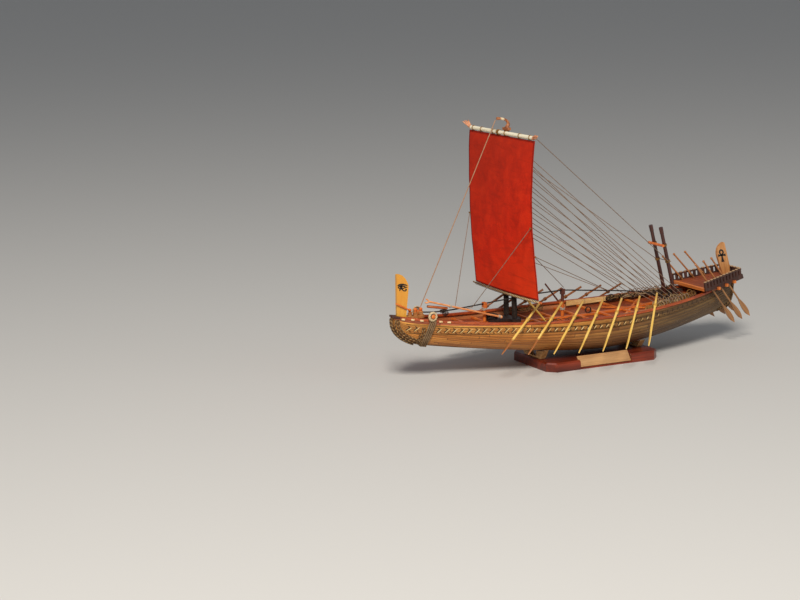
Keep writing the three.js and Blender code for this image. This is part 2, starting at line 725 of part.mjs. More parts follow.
// One straight railing: a sill that grows deeper along its length, a top strip, and posts
// whose heads stand proud. The openings between the posts go right through.
function railingPanel(length, postLength, skirtStart, skirtEnd) {
  const outline = [
    [0, RAILING_SILL], [0, -skirtStart], [length * 0.35, -skirtEnd], [length, -skirtEnd], [length, RAILING_SILL],
  ];
  const sill = new THREE.Shape(outline.map(([x, z]) => new THREE.Vector2(x, z)));
  const pieces = [
    sidePlate(sill, -RAILING_THICKNESS, 0),
    box(0, length, -RAILING_THICKNESS, 0, RAILING_TOP - RAILING_STRIP, RAILING_TOP),
  ];
  const posts = Math.round((postLength - RAILING_POST) / RAILING_PITCH);
  for (let i = 0; i <= posts; i += 1) {
    const x = ((postLength - RAILING_POST) * i) / posts;
    pieces.push(box(x, x + RAILING_POST, -RAILING_THICKNESS, 0, 0, RAILING_TOP + RAILING_KNOB));
  }
  return join(pieces);
}

const aftLean = new THREE.Matrix4()
  .makeTranslation(PLATFORM_LENGTH, 0, 0)
  .multiply(new THREE.Matrix4().makeRotationY(-rad(RAILING_AFT_LEAN)));

function sideRailing(side) {
  const slant = Math.cos(railingAngle);
  const reach = PLATFORM_LENGTH + RAILING_THICKNESS * 2;
  const panel = railingPanel(reach / slant, PLATFORM_LENGTH / slant, RAILING_SKIRT_FORE, RAILING_SKIRT_AFT);
  panel.rotateZ(-railingAngle).translate(0, PLATFORM_HALF_FORE, 0);
  const past = PLATFORM_LENGTH;
  const beyond = box(RAILING_THICKNESS, past, 0, past * 2, -past, past).applyMatrix4(aftLean);
  const railing = cut(panel, [beyond, ...platformBeams(GAP)]);
  return side > 0 ? railing : outward(railing.scale(1, -1, 1));
}

function aftRailing() {
  const inner = platformHalf(PLATFORM_LENGTH + RAILING_THICKNESS) - acrossRailing(RAILING_THICKNESS) - GAP * 2;
  const panel = railingPanel(inner * 2, inner * 2, RAILING_SKIRT_AFT, RAILING_SKIRT_AFT);
  return panel.rotateZ(Math.PI / 2).translate(RAILING_THICKNESS, -inner, 0)
    .translate(-RAILING_THICKNESS, 0, 0).applyMatrix4(aftLean);
}

// Gallows, crutches and mast

function gallowsX(z) {
  const foot = deckZ(GALLOWS_FOOT_X);
  return GALLOWS_FOOT_X + ((GALLOWS_TOP_X - GALLOWS_FOOT_X) * (z - foot)) / (GALLOWS_TOP_Z - foot);
}

function gallowsPost(side) {
  const y = side * GALLOWS_HALF;
  const low = deckZ(GALLOWS_FOOT_X) + GAP + 0.5;
  const neck = GALLOWS_TOP_Z - 5;
  const post = rod(V(gallowsX(low), y, low), V(gallowsX(neck), y, neck), GALLOWS_RADIUS, GALLOWS_RADIUS * 0.9);
  const head = rod(
    V(gallowsX(neck - 0.5), y, neck - 0.5), V(gallowsX(GALLOWS_TOP_Z), y, GALLOWS_TOP_Z),
    GALLOWS_RADIUS, GALLOWS_RADIUS * 1.05,
  );
  return join([post, head]);
}

function gallowsBar() {
  const x = gallowsX(GALLOWS_BAR_Z) - (GALLOWS_RADIUS + GALLOWS_BAR_RADIUS + GAP) * 1.03;
  return rod(V(x, -GALLOWS_BAR_HALF, GALLOWS_BAR_Z), V(x, GALLOWS_BAR_HALF, GALLOWS_BAR_Z), GALLOWS_BAR_RADIUS);
}

const stepForeX = MAST_X - STEP_LENGTH * STEP_FORE_SHARE;
const crutchForeX = stepForeX - CRUTCH_CLEAR - CRUTCH_RADIUS;

function mastPoint(side, z) {
  const share = (z - STEP_TOP_Z) / (MAST_TOP_Z - STEP_TOP_Z);
  return V(MAST_X + (MAST_TOP_X - MAST_X) * share, side * (MAST_HALF + (MAST_TOP_HALF - MAST_HALF) * share), z);
}

function mastLeg(side) {
  return rod(mastPoint(side, STEP_TOP_Z + GAP + 0.2), mastPoint(side, MAST_TOP_Z), MAST_FOOT_RADIUS, MAST_TOP_RADIUS);
}

// The mast step lies along the centre beam, with a cross arm under the mast's two feet.
function mastStep() {
  const fore = stepForeX;
  const block = loft([0, 0.25, 0.5, 0.75, 1].map((share) => {
    const x = fore + STEP_LENGTH * share;
    const low = beamTopZ(x) + GAP;
    const top = Math.max(STEP_TOP_Z, low + STEP_LEAST_HEIGHT);
    return [V(x, -STEP_HALF, low), V(x, STEP_HALF, low), V(x, STEP_HALF, top), V(x, -STEP_HALF, top)];
  }));
  const arm = STEP_ARM_WIDTH / 2;
  const armLow = beamTopZ(MAST_X - arm) + GAP;
  return join([block, box(MAST_X - arm, MAST_X + arm, -STEP_ARM_HALF, STEP_ARM_HALF, armLow, STEP_TOP_Z)]);
}

// The mast's head: a cap over both legs, and a neck that curls forward to a beak.
function mastHead() {
  const low = MAST_TOP_Z + GAP;
  const cap = box(MAST_TOP_X - 2, MAST_TOP_X + 2, -HEAD_HALF, HEAD_HALF, low, low + HEAD_BLOCK);
  const neck = new THREE.CatmullRomCurve3([
    V(MAST_TOP_X, 0, low + HEAD_BLOCK - 0.4), V(MAST_TOP_X + 1.6, 0, low + 5), V(MAST_TOP_X - 0.6, 0, low + 8.2),
    V(MAST_TOP_X - 5, 0, low + 9.6), V(MAST_TOP_X - 9.2, 0, low + 10),
  ]);
  const rings = Array.from({ length: 11 }, (_, i) => {
    const at = neck.getPointAt(i / 10);
    const along = neck.getTangentAt(i / 10);
    const up = V(0, 1, 0).cross(along).normalize();
    const radius = 1.9 - 0.6 * Math.sin((Math.PI * i) / 10) - 0.06 * i;
    return Array.from({ length: 8 }, (__, k) => {
      const angle = (k / 8) * Math.PI * 2;
      return at.clone().addScaledVector(V(0, 1, 0), Math.cos(angle) * radius)
        .addScaledVector(up, Math.sin(angle) * radius);
    });
  });
  return join([cap, loft(rings)]);
}

// A post with a forked head that holds the truss rope.
function crutch(x) {
  const ropeZ = trussZ(x);
  const low = beamTopZ(x) + GAP + 0.1;
  const top = ropeZ + FORK_DEPTH / 2;
  const width = TRUSS / 2 + GAP + FORK_CHEEK;
  const floor = ropeZ - TRUSS / 2 - GAP * 2;
  const block = box(x - CRUTCH_RADIUS, x + CRUTCH_RADIUS, -width, width, floor - 2.4, top);
  const slot = box(x - 5, x + 5, -TRUSS / 2 - GAP, TRUSS / 2 + GAP, floor, top + 5);
  const post = rod(V(x, 0, low), V(x, 0, floor - 1), CRUTCH_RADIUS, CRUTCH_RADIUS * 0.9, 8);
  return cut(join([post, block]), [slot]);
}

// A prop that leans forward from the after crutch, beside the truss rope.
function leaningProp() {
  const aside = TRUSS / 2 + GAP + PROP_RADIUS;
  const foot = V(CRUTCH_MID_X, aside * 0.75, beamTopZ(CRUTCH_MID_X) + PROP_FOOT);
  const top = V(CRUTCH_MID_X - PROP_REACH, aside + PROP_SPLAY, foot.z + PROP_RISE);
  return rod(foot, top, PROP_RADIUS, PROP_RADIUS * 0.85, 8);
}

// Yard, boom and sail

// The yard tapers a little and ends in two small carved hands.
function yard() {
  const pieces = [rod(V(YARD_X, -YARD_HALF, YARD_Z), V(YARD_X, YARD_HALF, YARD_Z), YARD_RADIUS)];
  const reach = YARD_HALF + YARD_HAND;
  for (const side of [-1, 1]) {
    const wrist = V(YARD_X, side * (YARD_HALF - 0.6), YARD_Z);
    const palm = V(YARD_X, side * (YARD_HALF + YARD_HAND * 0.45), YARD_Z + 1);
    const open = side > 0 ? 1 : 0.35;
    pieces.push(rod(wrist, palm, YARD_RADIUS * 0.8, YARD_RADIUS * 0.95, 8));
    pieces.push(ball(palm, YARD_RADIUS * 1.1, 8));
    pieces.push(rod(palm, V(YARD_X, side * reach, YARD_Z + 1 + 2.8 * open), YARD_RADIUS * 0.7, YARD_RADIUS * 0.45, 8));
  }
  return join(pieces);
}

const boomZ = (y) => BOOM_Z - BOOM_SAG * (1 - (y / BOOM_HALF) ** 2);

function boom() {
  return loft(Array.from({ length: 11 }, (_, i) => {
    const y = -BOOM_HALF + (2 * BOOM_HALF * i) / 10;
    const radius = BOOM_RADIUS * (1 - 0.3 * (y / BOOM_HALF) ** 2);
    return Array.from({ length: 8 }, (__, k) => {
      const angle = (k / 8) * Math.PI * 2;
      return V(BOOM_X + Math.cos(angle) * radius, y, boomZ(y) + Math.sin(angle) * radius);
    });
  }));
}

const headZ = YARD_Z - YARD_RADIUS - GAP - 0.2;
const footZ = (y) => boomZ(Math.min(Math.abs(y), BOOM_HALF)) + BOOM_RADIUS + GAP + 0.2;

// Middle surface of the sail: s across from port to starboard, t from the head down to the foot.
function sailPoint(s, t) {
  const half = SAIL_HALF_TOP + (SAIL_HALF_FOOT - SAIL_HALF_TOP) * t;
  const y = half * (2 * s - 1);
  const straight = YARD_X + (BOOM_X - YARD_X) * t;
  const across = SAIL_EDGE_BELLY + (SAIL_BELLY - SAIL_EDGE_BELLY) * Math.sin(Math.PI * s);
  const belly = across * Math.sin(Math.PI * t ** 0.85) + 0.5 * Math.sin(2 * Math.PI * s) * Math.sin(2 * Math.PI * t);
  return V(straight - belly, y, headZ + (footZ(y) - headZ) * t);
}

function sail() {
  const rings = Array.from({ length: SAIL_ROWS + 1 }, (_, i) => {
    const t = i / SAIL_ROWS;
    const row = Array.from({ length: SAIL_COLUMNS + 1 }, (__, j) => sailPoint(j / SAIL_COLUMNS, t));
    const front = row.map((p) => p.clone().add(V(-SAIL_THICKNESS / 2, 0, 0)));
    const back = row.map((p) => p.clone().add(V(SAIL_THICKNESS / 2, 0, 0))).reverse();
    return [...front, ...back];
  });
  return loft(rings);
}

// Ropes that the ship itself holds

const trussPoints = [
  ...TRUSS_XS.map((x, i) => V(x, 0, TRUSS_ZS[i])),
  V(crutchForeX, 0, TRUSS_FORE_CRUTCH_Z),
  V(CRUTCH_MID_X, 0, TRUSS_MID_CRUTCH_Z),
].sort((a, b) => a.x - b.x);

// Height of the truss rope's middle at x.
function trussZ(x) {
  const i = trussPoints.findIndex((p, k) => k > 0 && p.x >= x);
  const [a, b] = [trussPoints[i - 1], trussPoints[i]];
  return a.z + ((b.z - a.z) * (x - a.x)) / (b.x - a.x);
}

// Points that carry a line down one side of the truss rope, under it and up the other side.
function underTruss(x, spread) {
  const clear = (TRUSS + STAY) / 2 + GAP;
  return [
    V(x - spread, -clear * 1.6, trussZ(x)), V(x, 0, trussZ(x) - clear * 1.2), V(x + spread, clear * 1.6, trussZ(x)),
  ];
}

// Loops of spare line that lie side by side along the inside of a cap rail, from bow to stern.
function hank(side) {
  const steps = HANK_LOOPS * HANK_STEPS;
  return Array.from({ length: steps + 1 }, (_, i) => {
    const turn = (i / HANK_STEPS) * Math.PI * 2;
    const x = HANK_FORE_X + (HANK_PITCH * i) / HANK_STEPS;
    const inside = RAIL_WIDTH - RAIL_OUTSIDE + GAP + STAY / 2 + HANK_HALF_WIDTH;
    const y = halfBreadth(x) - inside - HANK_HALF_WIDTH * Math.cos(turn);
    return V(x, side * y, railZ(x) + HANK_LIFT - side * HANK_HALF_HEIGHT * Math.sin(turn));
  });
}

// Least distance between two parts of a line that lie further apart along it than a loop's width,
// less the line's own thickness. It is taken on points along the line.
function leastGap(points, diameter) {
  const step = diameter / 2;
  const along = [];
  let passed = 0;
  points.slice(1).forEach((end, i) => {
    const start = points[i];
    const length = end.distanceTo(start);
    const count = Math.max(1, Math.ceil(length / step));
    for (let k = 0; k < count; k += 1) {
      along.push({ at: passed + (length * k) / count, p: start.clone().lerp(end, k / count) });
    }
    passed += length;
  });
  let least = Infinity;
  for (let i = 0; i < along.length; i += 1) {
    for (let j = i + 1; j < along.length; j += 1) {
      if (along[j].at - along[i].at < HANK_HALF_WIDTH * 2) continue;
      least = Math.min(least, along[i].p.distanceToSquared(along[j].p));
    }
  }
  return Math.sqrt(least) - diameter;
}

// Each pair of backstays is one turn round the mast. A single line makes all the pairs, and runs
// over the cross beams from one pair to the next. Its two ends are put away in hanks.
function backstays() {
  const points = [...hank(1), hitch(CROSSING_X, 1), hitch(CROSSING_X, -1)];
  for (let i = 0; i < STAY_PAIRS; i += 1) {
    const share = i / (STAY_PAIRS - 1);
    const z = STAY_TOP_Z + (STAY_LOW_Z - STAY_TOP_Z) * share;
    const x = STAY_AFT_X + (STAY_FORE_X - STAY_AFT_X) * share;
    const first = i % 2 === 0 ? -1 : 1;
    const leg = mastPoint(1, z);
    const clear = MAST_FOOT_RADIUS + GAP + STAY;
    const turn = [
      V(leg.x + 0.5, leg.y + clear, z), V(leg.x - clear, leg.y + clear * 0.6, z),
      V(leg.x - clear, -leg.y - clear * 0.6, z), V(leg.x + 0.5, -leg.y - clear, z),
    ];
    points.push(hitch(x, first), ...(first > 0 ? turn : turn.reverse()), hitch(x, -first));
  }
  points.push(...hank(-1));
  console.log(`backstays: least gap to itself ${leastGap(points, STAY).toFixed(2)} mm`);
  return ropeThrough(points, STAY);
}

// A point over the cross beams, inside the bulwark.
function hitch(x, side) {
  return V(x, side * (halfBreadth(x) - STAY_INSIDE), beamTopZ(x) + GAP * 2 + STAY / 2);
}

function yardBraces() {
  const z = 78.5;
  const x = gallowsX(z);
  const clear = GALLOWS_RADIUS + GAP + STAY / 2 + 0.15;
  const side = (s) => [
    V(YARD_X + YARD_RADIUS + GAP + STAY / 2 + 0.1, s * (YARD_HALF - 1.5), YARD_Z),
    V(x - 0.4, s * (GALLOWS_HALF + clear), z),
    V(x + clear * 1.06, s * (GALLOWS_HALF + clear * 0.5), z - 0.4),
  ];
  return ropeThrough([...side(-1), ...side(1).reverse()], STAY);
}

// A point beside the sail's edge at height z, on its fore face or its after face.
function leech(z, side, face) {
  const share = (headZ - z) / (headZ - footZ(BOOM_HALF));
  const edge = sailPoint(side < 0 ? 0 : 1, share);
  return V(edge.x + face * (SAIL_THICKNESS / 2 + GAP + STAY), edge.y - side, z);
}

// The bowlines lead forward and the sheets aft: each is one line from leech to leech.
function bowlines() {
  const bottom = underTruss(BOWLINE_X, -BOWLINE_SPREAD);
  return ropeThrough([leech(BOWLINE_Z, -1, -1), ...bottom, leech(BOWLINE_Z, 1, -1)], STAY);
}

function sheets() {
  return ropeThrough([leech(SHEET_Z, -1, 1), ...underTruss(SHEET_X, 0), leech(SHEET_Z, 1, 1)], STAY);
}

function forestay() {
  return ropeThrough([
    V(MAST_TOP_X - FORESTAY_REACH, 0, MAST_TOP_Z + FORESTAY_RISE), V(BITT_XS[2] - 0.2, 0, BITT_TOP_Z + 0.9),
  ], FORESTAY);
}

// The boat pole: a forked head, a shaft, and a ball that lies on the mast step.
function boatPole() {
  const along = POLE_FORK.clone().sub(POLE_BALL).normalize();
  const up = along.clone().cross(V(0, 1, 0)).normalize();
  const neck = POLE_FORK.clone().addScaledVector(along, -3);
  const pieces = [rod(POLE_BALL, neck, POLE_RADIUS, POLE_RADIUS * 0.9, 8), ball(POLE_BALL, POLE_BALL_RADIUS)];
  for (const side of [-1, 1]) {
    const tine = neck.clone().addScaledVector(along, 1.4).addScaledVector(up, side * 1.3);
    const tip = POLE_FORK.clone().addScaledVector(up, side * 1.5);
    pieces.push(rod(neck.clone().addScaledVector(along, -0.8), tine, 0.7, 0.65, 6));
    pieces.push(rod(tine.clone().addScaledVector(along, -0.3), tip, 0.65, 0.5, 6));
  }
  return join(pieces);
}

// A band round the bow, from ring to ring under the keel.
function girdle() {
  const steps = 12;
  const path = [];
  const keelHang = keelZ(GIRDLE_X + GIRDLE_WIDTH / 2) - KEEL_PROUD - GAP;
  for (const side of [-1, 1]) {
    const half = [];
    for (let i = 0; i <= steps; i += 1) {
      const p = sectionPoint(GIRDLE_X - GIRDLE_WIDTH / 2, i / steps, 0, 1);
      const q = sectionPoint(GIRDLE_X + GIRDLE_WIDTH / 2, i / steps, 0, 1);
      const off = GAP + (RAIL_OUTSIDE + GAP) * (i / steps) ** 3;
      const y = Math.max(p.y, q.y) + off * Math.sin((Math.PI / 2) * (i / steps) ** 0.7);
      const z = Math.min(p.z, q.z) - off * Math.cos((Math.PI / 2) * (i / steps));
      half.push([side * y, Math.min(z, i === 0 ? keelHang : z)]);
    }
    if (side < 0) half.reverse();
    path.push(...half);
  }
  const railTop = railZ(GIRDLE_X);
  const first = path[0];
  const last = path[path.length - 1];
  path.unshift([first[0], railTop + 0.8]);
  path.push([last[0], railTop + 0.8]);
  const outer = path.map(([y, z], i) => {
    const a = path[Math.max(i - 1, 0)];
    const b = path[Math.min(i + 1, path.length - 1)];
    const length = Math.hypot(b[0] - a[0], b[1] - a[1]);
    return [y + (GIRDLE_THICKNESS * (b[1] - a[1])) / length, z - (GIRDLE_THICKNESS * (b[0] - a[0])) / length];
  });
  const band = crossPlate([...path, ...outer.reverse()], GIRDLE_X - GIRDLE_WIDTH / 2, GIRDLE_X + GIRDLE_WIDTH / 2);
  const rings = [-1, 1].map((side) => {
    const ring = new THREE.TorusGeometry(GIRDLE_RING, GIRDLE_RING_TUBE, 6, 14);
    ring.rotateX(Math.PI / 2);
    return ring.translate(GIRDLE_X, side * (Math.abs(first[0]) + GIRDLE_THICKNESS / 2 + 0.2), railTop + 2.6);
  });
  return join([band, ...rings]);
}

// Oars: built along their own Z, blade down, with the loom's lashing at the origin

function blade(length, width) {
  const half = width / 2;
  const shape = new THREE.Shape();
  shape.moveTo(-half * 0.35, 0);
  shape.bezierCurveTo(-half * 0.6, -length * 0.2, -half * 1.25, -length * 0.45, -half * 0.75, -length * 0.78);
  shape.lineTo(0, -length);
  shape.lineTo(half * 0.75, -length * 0.78);
  shape.bezierCurveTo(half * 1.25, -length * 0.45, half * 0.6, -length * 0.2, half * 0.35, 0);
  const geometry = new THREE.ExtrudeGeometry(shape, { depth: BLADE_THICKNESS, bevelEnabled: false, curveSegments: 6 });
  return geometry.rotateX(Math.PI / 2).translate(0, BLADE_THICKNESS / 2, 0);
}

function oar(above, below, radius, bladeLength, bladeWidth) {
  const shoulder = -(below - bladeLength);
  const parts = [
    rod(V(0, 0, above), V(0, 0, shoulder - 1), radius * 0.9, radius, 8),
    rod(V(0, 0, shoulder - 0.9), V(0, 0, shoulder - bladeLength * 0.75), radius * 0.95, radius * 0.4, 8),
    blade(bladeLength, bladeWidth).translate(0, 0, shoulder),
  ];
  return parts;
}

// Turns a piece so that its own -Z points along the direction and its width lies across `face`.
function aim(direction, face) {
  const down = direction.clone().normalize();
  const normal = face.clone().addScaledVector(down, -face.dot(down)).normalize();
  const up = down.clone().negate();
  const width = normal.clone().cross(up);
  return new THREE.Quaternion().setFromRotationMatrix(new THREE.Matrix4().makeBasis(width, normal, up));
}

function oarDirection(side, index) {
  const sweep = rad(OAR_SWEEP_FIRST + OAR_SWEEP_STEP * index);
  const drop = rad(OAR_DROP);
  return V(-Math.sin(sweep) * Math.cos(drop), side * Math.cos(sweep) * Math.cos(drop), -Math.sin(drop));
}

function oarPivot(side, index) {
  const x = OAR_FIRST_X + OAR_PITCH * index;
  return V(x, side * (halfBreadth(x) + OAR_OUTSIDE), railZ(x) + OAR_ABOVE_RAIL);
}

function steeringDirection(side) {
  const rake = rad(STEERING_RAKE);
  const lean = rad(STEERING_LEAN);
  return V(Math.sin(rake) * Math.cos(lean), -side * Math.sin(lean), -Math.cos(rake) * Math.cos(lean));
}

// Where a steering oar passes the platform's boards.
function steeringPivot(side, index) {
  const x = STEERING_FIRST_X + STEERING_PITCH * index;
  const along = (x - PLATFORM_X) / Math.cos(rad(PLATFORM_SLOPE));
  const inset = acrossRailing(RAILING_THICKNESS + STEERING_RADIUS) + RUNNING;
  return V(x, side * (platformHalf(along) - inset), platformZ(x));
}

function steeringLooms() {
  const looms = [];
  for (const side of [-1, 1]) {
    for (let i = 0; i < STEERING_OARS; i += 1) {
      const at = steeringPivot(side, i);
      const way = steeringDirection(side);
      looms.push({ top: at.clone().addScaledVector(way, -8), tip: at.clone().addScaledVector(way, 12) });
    }
  }
  return looms;
}

// Base board, nameplate and cradles

function baseBoard() {
  const x = BASE_LENGTH / 2;
  const y = BASE_WIDTH / 2;
  const outline = (inset) => {
    const corner = BASE_CORNER - inset * 0.4;
    return [
      [-x + inset, -y + corner], [-x + corner, -y + inset], [x - corner, -y + inset], [x - inset, -y + corner],
      [x - inset, y - corner], [x - corner, y - inset], [-x + corner, y - inset], [-x + inset, y - corner],
    ];
  };
  const level = (z, inset) => outline(inset).map(([px, py]) => V(px, py, z));
  const board = loft([level(0, 0), level(BASE_HEIGHT - BASE_BEVEL, 0), level(BASE_HEIGHT, BASE_BEVEL)]);
  const seat = box(
    -PLATE_LENGTH / 2 - GAP, PLATE_LENGTH / 2 + GAP, -20, 0, -PLATE_HEIGHT, PLATE_HEIGHT * 2,
  );
  seat.applyMatrix4(plateTurn());
  return cut(board, [seat]);
}

// The sloping seat at the foot of the board's port side: its plane is the plate's back.
function plateTurn() {
  return new THREE.Matrix4()
    .makeTranslation(0, -BASE_WIDTH / 2 + 0.9, 0.7)
    .multiply(new THREE.Matrix4().makeRotationX(-rad(90 - PLATE_LEAN)));
}

function nameplate() {
  const half = PLATE_LENGTH / 2;
  return box(-half, half, -GAP - PLATE_THICKNESS, -GAP, 0.9, 0.9 + PLATE_HEIGHT).applyMatrix4(plateTurn());
}

// Two arms on one foot: their tops follow the planking, and the keel hangs free between them.
function cradle(x) {
  const faces = [x - CRADLE_THICKNESS / 2, x, x + CRADLE_THICKNESS / 2];
  const low = BASE_HEIGHT + GAP;
  const seatAt = (y) => Math.min(...faces.map((f) => bottomAt(f, y, 0))) - GAP;
  const steps = 6;
  const tops = Array.from({ length: steps + 1 }, (_, i) => {
    const y = CRADLE_INNER + ((CRADLE_SPREAD - CRADLE_INNER) * i) / steps;
    return [y, seatAt(y)];
  });
  const right = [
    [CRADLE_FOOT, low], [CRADLE_SPREAD, seatAt(CRADLE_SPREAD) - CRADLE_LIP], ...tops.slice().reverse(),
    [CRADLE_INNER, low + CRADLE_BRIDGE],
  ];
  const left = right.map(([y, z]) => [-y, z]).reverse();
  return crossPlate([...right, ...left], faces[0], faces[2]);
}

// Assembly

const ship = new THREE.Group();

function add(name, geometry, material, parent = ship) {
  const mesh = new THREE.Mesh(geometry, material);
  mesh.name = name;
  parent.add(mesh);
  return mesh;
}

const sides = [[-1, 'port'], [1, 'starboard']];

add('base_board', baseBoard(), mahogany);
add('nameplate', nameplate(), plateTan);
add('cradle_fore', cradle(-BASE_LENGTH / 2 + CRADLE_FORE_INSET), paleOak);
add('cradle_aft', cradle(BASE_LENGTH / 2 - CRADLE_AFT_INSET), paleOak);

add('keel_plate', keelPlate(), honey);
['frame_fore', 'frame_mid', 'frame_aft'].forEach((name, i) => add(name, frame(FRAME_XS[i]), paleOak));
add('deck', deck(), redBrown);
add('deck_timbers', deckTimbers(), orangeWood);
for (const [side, word] of sides) {
  add(`planking_${word}`, planking(side), honey);
  add(`gunwale_${word}`, gunwale(side), redBrown);
  add(`gallows_${word}`, gallowsPost(side), darkWood);
  add(`mast_leg_${word}`, mastLeg(side), blackWood);
}
add('gallows_bar', gallowsBar(), orangeWood);
add('mast_step', mastStep(), blackWood);
add('mast_head', mastHead(), redBrown);
add('bow_post', bowPost(), ivory);
add('stern_post', sternPost(), tan);

const sternGallery = new THREE.Group();
sternGallery.applyMatrix4(platformTurn);
ship.add(sternGallery);
add('stern_platform', platform(), redBrown, sternGallery);
for (const [side, word] of sides) add(`railing_${word}`, sideRailing(side), darkWood, sternGallery);
add('railing_aft', aftRailing(), darkWood, sternGallery);

add('yard', yard(), creamSpar);
add('boom', boom(), tan);
add('sail', sail(), redCloth);
add('crutch_fore', crutch(crutchForeX), orangeWood);
add('crutch_mid', join([crutch(CRUTCH_MID_X), leaningProp()]), darkWood);
add('hogging_truss', ropeAlong(trussPoints, TRUSS, 26), blackWood);
add('girdle', girdle(), rope);
add('boat_pole', boatPole(), orangeWood);
add('forestay', forestay(), stayRope);
add('backstays', backstays(), stayRope);
add('yard_braces', yardBraces(), stayRope);
add('bowlines', bowlines(), stayRope);
add('sheets', sheets(), stayRope);

const grommet = new THREE.CylinderGeometry(GROMMET_RADIUS, GROMMET_RADIUS, GROMMET_LENGTH, 8).rotateX(Math.PI / 2);

// A rowing oar, with the given length of loom inboard of its rope grommet.
function rowingOar(inboard) {
  return join([...oar(inboard, OAR_LENGTH - inboard, OAR_RADIUS, OAR_BLADE, OAR_BLADE_WIDTH), grommet]);
}

const steeringOar = join([
  ...oar(STEERING_ABOVE, STEERING_BELOW, STEERING_RADIUS, STEERING_BLADE, STEERING_BLADE_WIDTH),
  ball(V(0, 0, STEERING_ABOVE - 0.6), STEERING_RADIUS * 1.35, 8),
]);

for (const [side, word] of sides) {
  for (let i = 0; i < OARS; i += 1) {
    const inboard = OAR_INBOARD_FIRST + OAR_INBOARD_STEP * i;
    const mesh = add(`oar_${word}_${i + 1}`, rowingOar(inboard), oarYellow);
    mesh.position.copy(oarPivot(side, i));
    mesh.quaternion.copy(aim(oarDirection(side, i), V(1, 0, 0)));
  }
  for (let i = 0; i < STEERING_OARS; i += 1) {
    const mesh = add(`steering_oar_${word}_${i + 1}`, steeringOar, tan);
    mesh.position.copy(steeringPivot(side, i));
    mesh.quaternion.copy(aim(steeringDirection(side), V(0, 1, 0)));
  }
}

export default ship;
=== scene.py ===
# %% [markdown]
# # A model of an ancient Egyptian seagoing ship
#
# The hard pieces of the ship come in as a frame, each where it belongs. What this file adds is
# what a model maker does last: planking, wood finishes, rope work, the sail and the small fittings.
# All sizes below are in millimetres, and Blender works in metres, so one factor turns them over.

# %% Load the frame
import json
import math
import random

import bpy
import numpy as np
from mathutils import Matrix, Vector


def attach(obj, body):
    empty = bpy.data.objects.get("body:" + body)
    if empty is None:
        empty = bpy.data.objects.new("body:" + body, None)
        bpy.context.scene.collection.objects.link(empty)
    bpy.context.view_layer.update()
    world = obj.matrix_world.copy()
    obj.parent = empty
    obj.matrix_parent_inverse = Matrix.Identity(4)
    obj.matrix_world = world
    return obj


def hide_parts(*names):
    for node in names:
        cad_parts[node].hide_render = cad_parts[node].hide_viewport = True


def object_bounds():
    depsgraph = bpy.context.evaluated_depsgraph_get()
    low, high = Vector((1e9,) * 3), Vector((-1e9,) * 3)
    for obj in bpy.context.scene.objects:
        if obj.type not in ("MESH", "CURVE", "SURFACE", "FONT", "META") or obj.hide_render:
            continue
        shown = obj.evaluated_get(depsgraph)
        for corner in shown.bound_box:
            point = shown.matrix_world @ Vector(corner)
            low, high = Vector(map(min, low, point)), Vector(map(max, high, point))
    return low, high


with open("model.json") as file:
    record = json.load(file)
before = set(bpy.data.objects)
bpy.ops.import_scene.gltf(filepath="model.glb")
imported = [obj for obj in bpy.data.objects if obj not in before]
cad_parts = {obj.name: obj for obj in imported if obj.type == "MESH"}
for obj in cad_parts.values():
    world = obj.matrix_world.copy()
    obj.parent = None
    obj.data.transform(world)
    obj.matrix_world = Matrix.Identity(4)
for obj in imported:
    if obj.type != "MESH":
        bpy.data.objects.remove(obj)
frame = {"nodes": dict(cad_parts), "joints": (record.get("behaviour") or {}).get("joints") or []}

MM = 0.001
AFT, STARBOARD, UP = (1, 0, 0), (0, 1, 0), (0, 0, 1)


def add_object(name, data):
    """A new object of the scene that carries this data."""
    made = bpy.data.objects.new(name, data)
    bpy.context.scene.collection.objects.link(made)
    return made


def new_mesh(name, points, edges, faces):
    mesh = bpy.data.meshes.new(name)
    mesh.from_pydata(points, edges, faces)
    return mesh


cad_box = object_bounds()
size = [round(v / MM, 1) for v in cad_box[1] - cad_box[0]]
print(len(frame["nodes"]), "pieces,", size, "mm over all")

# %% [markdown]
# The camera comes first. It stands off the port bow, higher than the masthead, with a long lens, as
# for a portrait of the whole ship. Its three axes are the columns of its rotation.

# %% Camera
look = Vector((0.44543449, 0.87496932, -0.18978093))
up = Vector((0.09791265, 0.16309358, 0.98174009))
eye = add_object("eye", bpy.data.cameras.new("eye"))
eye.data.lens = 88.83
eye.data.sensor_width = 36
eye.data.clip_start, eye.data.clip_end = 0.05, 200
turn = Matrix((look.cross(up), up, -look)).transposed().to_4x4()
eye.matrix_world = Matrix.Translation(Vector((-885.58, -1392.80, 370.66)) * MM) @ turn
bpy.context.scene.camera = eye
print("lens", eye.data.lens, "mm")

# %% [markdown]
# Wood, rope and cloth are all made of numbers that change over a surface. A shader does that with
# nodes, and a formula reads better than twenty wires. So one small class wraps a node's output, and
# arithmetic on it adds the Math nodes. One method makes every other kind of node: settings first,
# because some of them change which sockets the node has.


# %% Nodes by arithmetic
class Wire:
    """One output of a node. Arithmetic on it adds Math nodes to the same tree."""

    def __init__(self, nodes, socket):
        self.nodes, self.socket = nodes, socket

    def math(self, operation, *others):
        values = dict(enumerate((self, *others)))
        return self.nodes.node("ShaderNodeMath", {"operation": operation}, values)

    def out(self, name):
        return Wire(self.nodes, self.socket.node.outputs[name])

    def __add__(self, other):
        return self.math("ADD", other)

    def __sub__(self, other):
        return self.math("SUBTRACT", other)

    def __rsub__(self, other):
        return self.nodes.node("ShaderNodeMath", {"operation": "SUBTRACT"}, {0: other, 1: self})

    def __mul__(self, other):
        return self.math("MULTIPLY", other)

    def __truediv__(self, other):
        return self.math("DIVIDE", other)

    def __abs__(self):
        return self.math("ABSOLUTE")

    __radd__, __rmul__ = __add__, __mul__


